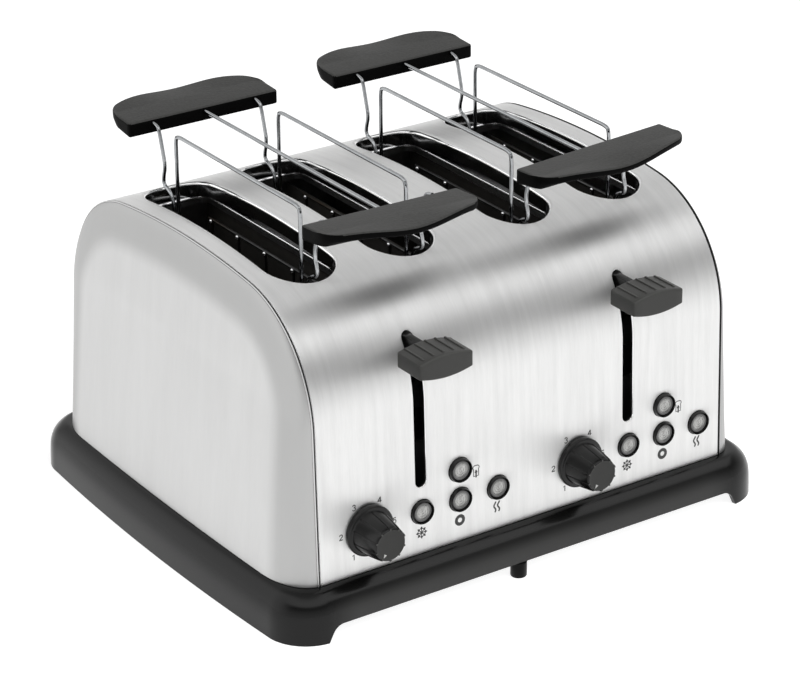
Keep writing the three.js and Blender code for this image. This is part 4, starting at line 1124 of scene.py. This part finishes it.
lens_profile = [(0, lens_base), (lens_radius, lens_base)]
for row in range(lens_rows + 1):
    share = 1 - row / lens_rows
    ripple = ripple_height * math.cos(2 * math.pi * lens_ripples * share) if share < 0.8 else 0
    edge = lens_edge * max(share - 0.94, 0) / 0.06
    lens_profile.append((lens_radius * share, lens_crest - lens_dish * (1 - share * share) + ripple - edge))
for side, name in sides:
    for key, (offset, z) in button_places.items():
        place = (side * lever_x + offset, 0, z)
        collar = turned(f"{name}_{key}_ring", ring_profile, place, "y")
        dress(collar, f"{name}_{key}", button_black, [f"{name}_{key}_button"])
        lens = turned(f"{name}_{key}_lens", lens_profile, place, "y")
        reach = lens.data.attributes.new("reach", "FLOAT", "POINT")
        for vertex in lens.data.vertices:
            away = math.hypot(vertex.co.x / MM - place[0], vertex.co.z / MM - place[2])
            reach.data[vertex.index].value = away / lens_radius
        dress(lens, f"{name}_{key}", lens_grey)
    dress(joined(f"{name}_button_icons", icon_strokes(side * lever_x)), "housing", print_black)


# The lever knobs: arched black grips with a flat face and five thumb ribs on top, each moulded on a flat
# steel-black arm that spreads where it meets the grip and runs through the lever slot.
grip_half_width = 17
grip_front = 155.2
grip_back = 133.2
grip_z = 149.2
grip_side = 4.3
grip_crest = 2.6
grip_round = 1.5
grip_rows = [(grip_front, 1.3), (155.05, 0.75), (154.6, 0.3), (154.0, 0.06), (153.2, 0), (134.2, 0),
             (133.6, 0.2), (133.3, 0.6), (grip_back, 1.2)]
rib_count = 5
rib_pitch = 6.4
rib_half_width = 0.55
rib_root = -1.4
rib_edge = 0.35
rib_line = [(152.0, 0.35), (151.7, 0.7), (151.2, 0.8), (134.8, 0.8), (134.2, 0.5)]
arm_rows = [(103.6, 2.5, 0), (129.9, 2.5, 0), (130.9, 2.9, 0), (131.8, 3.9, 0.2), (132.6, 5.2, 0.6),
            (134.4, 6.4, 1.2)]
arm_z = (144.5, 153.5)
arm_round = 0.5


def rounded(corners, radius, steps=5):
    """A closed outline with its corners rounded."""
    points = []
    for index, corner in enumerate(corners):
        here = Vector(corner)
        into = Vector(corners[index - 1]) - here
        out = Vector(corners[(index + 1) % len(corners)]) - here
        reach = min(radius, into.length * 0.45, out.length * 0.45)
        first, last = here + into.normalized() * reach, here + out.normalized() * reach
        for step in range(steps + 1):
            t = step / steps
            points.append(tuple(first * (1 - t) ** 2 + here * 2 * t * (1 - t) + last * t * t))
    return points


def with_caps(sections):
    """A bar's sections with a smaller ring inside each end face, so that its caps stay flat and even."""
    caps = []
    for section in (sections[0], sections[-1]):
        middle = [sum(point[axis] for point in section) / len(section) for axis in range(3)]
        caps.append([[m + (c - m) * 0.7 for c, m in zip(point, middle)] for point in section])
    return [caps[0]] + sections + [caps[1]]


row_tree, row_in, row_out = geometry_tree("row_of_copies", {
    "Count": 5, "Start": (0.0, 0.0, 0.0), "Step": (0.01, 0.0, 0.0), "Crest": 0.0, "Half": 1.0})
row_points = add_node(row_tree, "GeometryNodeMeshLine", {
    "Count": row_in["Count"], "Start Location": row_in["Start"], "Offset": row_in["Step"]}, mode="OFFSET")
row_x = parts(row_tree, add_node(row_tree, "GeometryNodeInputPosition").outputs[0])["X"]
row_share = maths(row_tree, "DIVIDE", row_x, row_in["Half"])
row_fall = maths(row_tree, "SUBTRACT", 1.0, maths(row_tree, "MULTIPLY", row_share, row_share))
row_rise = maths(row_tree, "MULTIPLY", row_fall, row_in["Crest"])
row_lift = add_node(row_tree, "ShaderNodeCombineXYZ", {"Z": row_rise})
row_places = add_node(row_tree, "GeometryNodeSetPosition", {
    "Geometry": row_points.outputs[0], "Offset": row_lift.outputs[0]})
row_copies = add_node(row_tree, "GeometryNodeInstanceOnPoints", {
    "Points": row_places.outputs[0], "Instance": row_in["Mesh"]})
end_tree(row_tree, row_copies, row_in, row_out)

grip_black = plastic(
    "grip_black", (0.048, 0.048, 0.0455), (0.058, 0.058, 0.0555), (0.34, 0.42), 2400.0, 0.008, 0.25)
grip_arc = [(grip_half_width * t, grip_side + grip_crest * (1 - t * t)) for t in np.linspace(1, -1, 27)]
grip_under = [(-x, -z) for x, z in grip_arc]
grip_ends = rounded([grip_under[-2], grip_under[-1], grip_arc[0], grip_arc[1]], grip_round)[6:18]
grip_starts = rounded([grip_arc[-2], grip_arc[-1], grip_under[0], grip_under[1]], grip_round)[6:18]
grip_face = grip_arc[1:-1] + grip_starts + grip_under[1:-1] + grip_ends
for side, name in sides:
    middle = side * lever_x
    grip_sections = []
    for along, inset in grip_rows:
        wide, high = 1 - inset / grip_half_width, 1 - inset / (grip_side + grip_crest)
        grip_sections.append([(middle + x * wide, -along, grip_z + z * high) for x, z in grip_face])
    rib = ridge_bar([(along, rib_root, top) for along, top in rib_line], rib_half_width, rib_edge)
    ribs = grown(rib, row_tree, Count=rib_count, Start=((1 - rib_count) / 2 * rib_pitch * MM, 0.0, 0.0),
                 Step=(rib_pitch * MM, 0.0, 0.0), Crest=grip_crest * MM, Half=grip_half_width * MM,
                 Finish=grip_black)
    moved(ribs, (middle, 0, grip_z + grip_side))
    arm_sections = []
    for along, half, drop in arm_rows:
        low, high = arm_z[0] + drop, arm_z[1] - drop * 0.3
        arm_face = rounded([(-half, low), (half, low), (half, high), (-half, high)], arm_round, 3)
        arm_sections.append([(middle + x, -along, z) for x, z in arm_face])
    grip = bar_loft("grip", with_caps(grip_sections))
    lever = joined(f"{name}_lever_grip", [grip, ribs, bar_loft("arm", arm_sections)])
    dress(lever, f"{name}_lever_carriage", grip_black, [f"{name}_lever_knob"])
    lever.data.materials.append(dial_black)
    for face in lever.data.polygons:
        if -face.center.y / MM < grip_back:
            face.material_index = 1


# The warming racks: two bent steel wires to a rack hook over the slots' round ends and stand up between
# them, and a straight one joins the handles. All are drawn through one tree that rounds their bends.
rack_x = 69.4
rack_spread = 34
wire_radius = 1.15
wire_bend = 1.5
rack_soft = 2.6
rim_seat_lift = 1.5
hook_drops = (1, 4.4)
rim_seat = corner_z + math.sqrt(corner_radius ** 2 - (slot_half_length + corner_y) ** 2) + rim_seat_lift
rack_path = [(90.7, 216.5), (86.5, 215.9), (84.2, 214.2), (78.6, 193.6), (81.475, 186.5), (80.9, rim_seat),
             (76.8, rim_seat - hook_drops[0]), (72, rim_seat - hook_drops[1]), (70, 169.5), (70, 151.15),
             (67.7, 150), (65.4, 151.15), (65.4, 214.7), (63.1, 217)]

wire_tree, wire_in, wire_out = geometry_tree("round_wire", {"Radius": 0.001, "Bend": 0.003})
wire_curve = add_node(wire_tree, "GeometryNodeMeshToCurve", {0: wire_in["Mesh"]})
wire_soft = add_node(wire_tree, "GeometryNodeFilletCurve", {
    "Curve": wire_curve.outputs[0], "Radius": wire_in["Bend"], "Limit Radius": True}, mode="POLY")
wire_soft.inputs["Count"].default_value = 7
wire_ring = add_node(wire_tree, "GeometryNodeCurvePrimitiveCircle", {
    "Resolution": 16, "Radius": wire_in["Radius"]})
wire_solid = add_node(wire_tree, "GeometryNodeCurveToMesh", {
    "Curve": wire_soft.outputs[0], "Profile Curve": wire_ring.outputs[0], "Fill Caps": True})
end_tree(wire_tree, wire_solid, wire_in, wire_out)


def softened(path, reach):
    """An open path with each of its corners cut, and cut again less deeply."""
    for cut_back in (reach, reach / 2, reach / 4):
        points = [Vector(point) for point in path]
        path = [points[0]]
        for before, here, after in zip(points, points[1:], points[2:]):
            for other in (before, after):
                way = other - here
                path.append(here + way.normalized() * min(cut_back, way.length * 0.3))
        path.append(points[-1])
    return path


def wire_piece(name, paths, radius, bend, material):
    """Round wires along open paths, as one piece."""
    mesh = bpy.data.meshes.new(name)
    points = []
    edges = []
    for path in paths:
        edges += [(len(points) + i, len(points) + i + 1) for i in range(len(path) - 1)]
        points += [tuple(c * MM for c in point) for point in path]
    mesh.from_pydata(points, edges, [])
    piece = bpy.data.objects.new(name, mesh)
    scene.collection.objects.link(piece)
    return grown(piece, wire_tree, 40, Radius=radius * MM, Bend=bend * MM, Finish=material)


rack_wire = metal("rack_wire", (0.30, 0.31, 0.32), (0.42, 0.43, 0.44), (500, 500, 500), (0.06, 0.12), 0.002)
for side, name in sides:
    middle = side * rack_x
    wires = []
    for offset in (-rack_spread, rack_spread):
        back = [(middle + offset, y, z) for y, z in rack_path]
        wires.append(softened(back + [(x, -y, z) for x, y, z in reversed(back)], rack_soft))
    wires.append([(middle, sign * rack_path[0][0], rack_path[0][1]) for sign in (-1, 1)])
    rack = wire_piece(f"{name}_rack_wires", wires, wire_radius, wire_bend, rack_wire)
    dress(rack, f"{name}_rack", rack_wire,
          [f"{name}_rack_outer_wire", f"{name}_rack_inner_wire", f"{name}_rack_centre_wire"])


# The rack handles: thick heat-proof mouldings, flat above the wires and with a waved finger lip that
# bows out. Those at the front sit a little out of level, as on loose racks, and all have a leathery grain.
handle_in = 91
handle_half = 49.5
handle_top = 219.2
handle_thick = 8.8
handle_corner = 8
handle_width = 23.4
handle_bow = 13.3
handle_flat = 19.5
handle_rounding = 1.5
handle_under = 2
handle_crown = 0.8
lip_width = 3.9
lip_thick = 4
lip_wave = 1.6
handle_stations = 61
handle_end_rows = [(0.55, 0.1), (0.95, 0.35), (1.2, 0.8)]
handle_lifts = {"left": -1.8, "right": 4.9}


def shrunk(points, inset):
    """A closed counter-clockwise outline moved in along its normals."""
    inner = []
    for index, point in enumerate(points):
        way = (Vector(points[(index + 1) % len(points)]) - Vector(points[index - 1])).normalized()
        inner.append((point[0] - way.y * inset, point[1] + way.x * inset))
    return inner


def handle_ring(along, inset):
    """A handle's rounded section at a place along it: out from the body, and up."""
    share = along / handle_half
    into = max(abs(along) - handle_half + handle_corner, 0)
    corner = handle_corner - math.sqrt(max(handle_corner ** 2 - into ** 2, 0))
    width = handle_width + handle_bow * max(1 - share * share, 0) ** 0.75 - corner
    flat = min(handle_flat, width - lip_width)
    lip = handle_top + lip_wave * (1 - 0.75 * math.cos(1.5 * math.pi * share))
    bottom = handle_top - handle_thick
    ring = rounded([(0, bottom), (flat, bottom + handle_under), (width, lip - lip_thick), (width, lip),
                    (flat, handle_top + handle_crown), (0, handle_top)], handle_rounding, 4)
    return shrunk(ring, inset)


# Lit and shaded copies of one plastic: the tops are painted paler as the lit side, and the sides near black
# as painted shade.
handle_grain_painted_light = plastic(
    "handle_grain_painted_light", (0.030, 0.030, 0.029), (0.068, 0.068, 0.066), (0.42, 0.56), 620.0, 0.22, 0.15, 0.02,
    tone="Height", rubbed=(0.060, 0.060, 0.058), strength=0.8)
handle_side_painted_shade = plastic("handle_side_painted_shade", 0.001, 0.003, (0.4, 0.52), 1500.0, 0.01, 0.03, 0.001)
handle_inner = handle_half - handle_end_rows[-1][0]
stations = [(along, 0.0) for along in np.linspace(-handle_inner, handle_inner, handle_stations)]
for reach, inset in handle_end_rows:
    stations = [(-handle_inner - reach, inset)] + stations + [(handle_inner + reach, inset)]
for side, name in sides:
    for facing, end, lift in ((-1, "front", handle_lifts[name]), (1, "rear", 0)):
        sections = []
        for along, inset in stations:
            raise_by = lift * (1 + facing * along / handle_half) / 2
            sections.append([(side * rack_x + facing * along, facing * (handle_in + out), z + raise_by)
                             for out, z in handle_ring(along, inset)])
        handle = settle(bar_loft(f"{name}_{end}_grip", with_caps(sections)), 40)
        dress(handle, f"{name}_rack", handle_grain_painted_light, [f"{name}_rack_{end}_handle"])
        handle.data.materials.append(handle_side_painted_shade)
        # Faces that do not look up take the sides' painted shade.
        for face in handle.data.polygons:
            if face.normal.z < 0.5:
                face.material_index = 1


# The bread guides: a wire grid on each side of each slot, hung on its lower rail. Five uprights cross
# three rails, all plated steel painted near black as shade in the slots, browned a little by heat where they
# pass the boards.
guide_reach = 17.5
guide_rails = [(37, 87.7), (101, 61), (164, 61)]
guide_rail_radius = 1.0
guide_upright_radius = 0.85
guide_uprights = (-58, -29, 0, 29, 58)

# The wire's steel is painted near black: painted shade inside the slots.
guide_wire = metal("guide_wire", 0.05, 0.10, (300, 300, 300), (0.30, 0.42), 0.006)
guide_tree, guide_skin = opened(guide_wire)
guide_heat = noise(guide_tree, own_place(guide_tree), 25.0, 3.0, 0.5)
recolour(guide_tree, guide_skin, ranged(guide_tree, guide_heat, 0.5, 0.75, 0, 0.7), (0.07, 0.05, 0.03))
for name, centre in slot_centres.items():
    for letter, sign in (("a", -1), ("b", 1)):
        x = centre + sign * guide_reach
        rails = wire_piece("rails", [[(x, -half, z), (x, half, z)] for z, half in guide_rails],
                           guide_rail_radius, 0, guide_wire)
        uprights = wire_piece("uprights", [[(x, y, guide_rails[0][0]), (x, y, guide_rails[-1][0])]
                                           for y in guide_uprights], guide_upright_radius, 0, guide_wire)
        grid = joined(f"{name}_wire_grid_{letter}", [rails, uprights])
        dress(grid, f"{name}_guide_{letter}", guide_wire, [f"{name}_slot_guide_{letter}"])


# The chamber mouths: the plate under the slots turns up round each one, and its edge is hemmed over a
# wire painted brighter than steel, a painted highlight. Small bright beads stand on the guides where the
# uprights meet the top rail: painted glints on the wire tops.
mouth_half_width = 25
mouth_half_length = 77
mouth_z = 171.5
mouth_radius = 1.1
mouth_corner = 9
glint_bead_radius = 1.25
glint_bead_reach = 16.7
glint_bead_z = 163.2

# Brighter than any steel: a painted highlight on the hem wire, and painted glints on the beads.
hem_steel = metal("hem_steel", (0.88, 0.88, 0.89), (0.95, 0.95, 0.96), (400, 400, 400), (0.22, 0.30), 0.002)
bead_profile = [polar(glint_bead_radius, math.pi * (step / 8 - 0.5)) for step in range(1, 8)]
bead_profile = [(0, -glint_bead_radius)] + bead_profile + [(0, glint_bead_radius)]
for name, centre in slot_centres.items():
    corners = [(centre + x * mouth_half_width, y * mouth_half_length)
               for x, y in ((-1, -1), (1, -1), (1, 1), (-1, 1))]
    loop = [(x, y, mouth_z) for x, y in rounded(corners, mouth_corner, 8)]
    hem = wire_piece(f"{name}_mouth_hem", [loop + loop[:1]], mouth_radius, 0, hem_steel)
    dress(hem, "housing", hem_steel)
    for letter, sign in (("a", -1), ("b", 1)):
        bead = turned("bead", bead_profile, (0, 0, 0), steps=16)
        bead_glints = grown(bead, row_tree, 80, Count=len(guide_uprights), Finish=hem_steel,
                      Step=(0.0, (guide_uprights[1] - guide_uprights[0]) * MM, 0.0))
        moved(bead_glints, (centre + sign * glint_bead_reach, guide_uprights[0], glint_bead_z))
        bead_glints.name = f"{name}_glint_beads_{letter}"
        dress(bead_glints, f"{name}_guide_{letter}", hem_steel)


# The kept solids: sheet, boards, housings, carriages, rods and trays are shown as drawn. Each takes the
# finish of its slot: dull plated sheet, bright plated sheet, mica, heat-proof plastic or satin steel.
sheet_steel = metal("sheet_steel", 0.24, (0.36, 0.36, 0.365), (80, 80, 80), (0.30, 0.45), 0.01)
bright_sheet = metal(
    "bright_sheet", (0.18, 0.18, 0.185), (0.28, 0.28, 0.285), (120, 120, 120), (0.2, 0.34), 0.006)
tray_steel = metal(
    "tray_steel", (0.60, 0.60, 0.595), (0.70, 0.70, 0.695), (60, 900, 60), (0.28, 0.38), 0.004)
mica_board = speckled(
    "mica_board", (0.02, 0.018, 0.016), (0.08, 0.074, 0.065), 400.0, "Patches", 0.05, Roughness=0.7)
hot_plastic = plastic("hot_plastic", (0.05, 0.05, 0.048), (0.07, 0.07, 0.068), (0.5, 0.62), 1500.0, 0.02)
finishes = {
    "plain_steel": sheet_steel, "bright_wire": bright_sheet, "chromed_wire": rack_wire, "mica": mica_board,
    "grey_plastic": hot_plastic, "satin_steel": tray_steel, "brushed_steel": brushed_steel,
    "black_plastic": plinth_black, "grained_plastic": handle_grain_painted_light, "knob_plastic": grip_black,
    "button_plastic": lens_grey, "black_rubber": peg_black,
}
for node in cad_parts.values():
    for place in node.material_slots:
        slot_name = place.material.name.split(".")[0]
        if slot_name in finishes:
            place.material = finishes[slot_name]
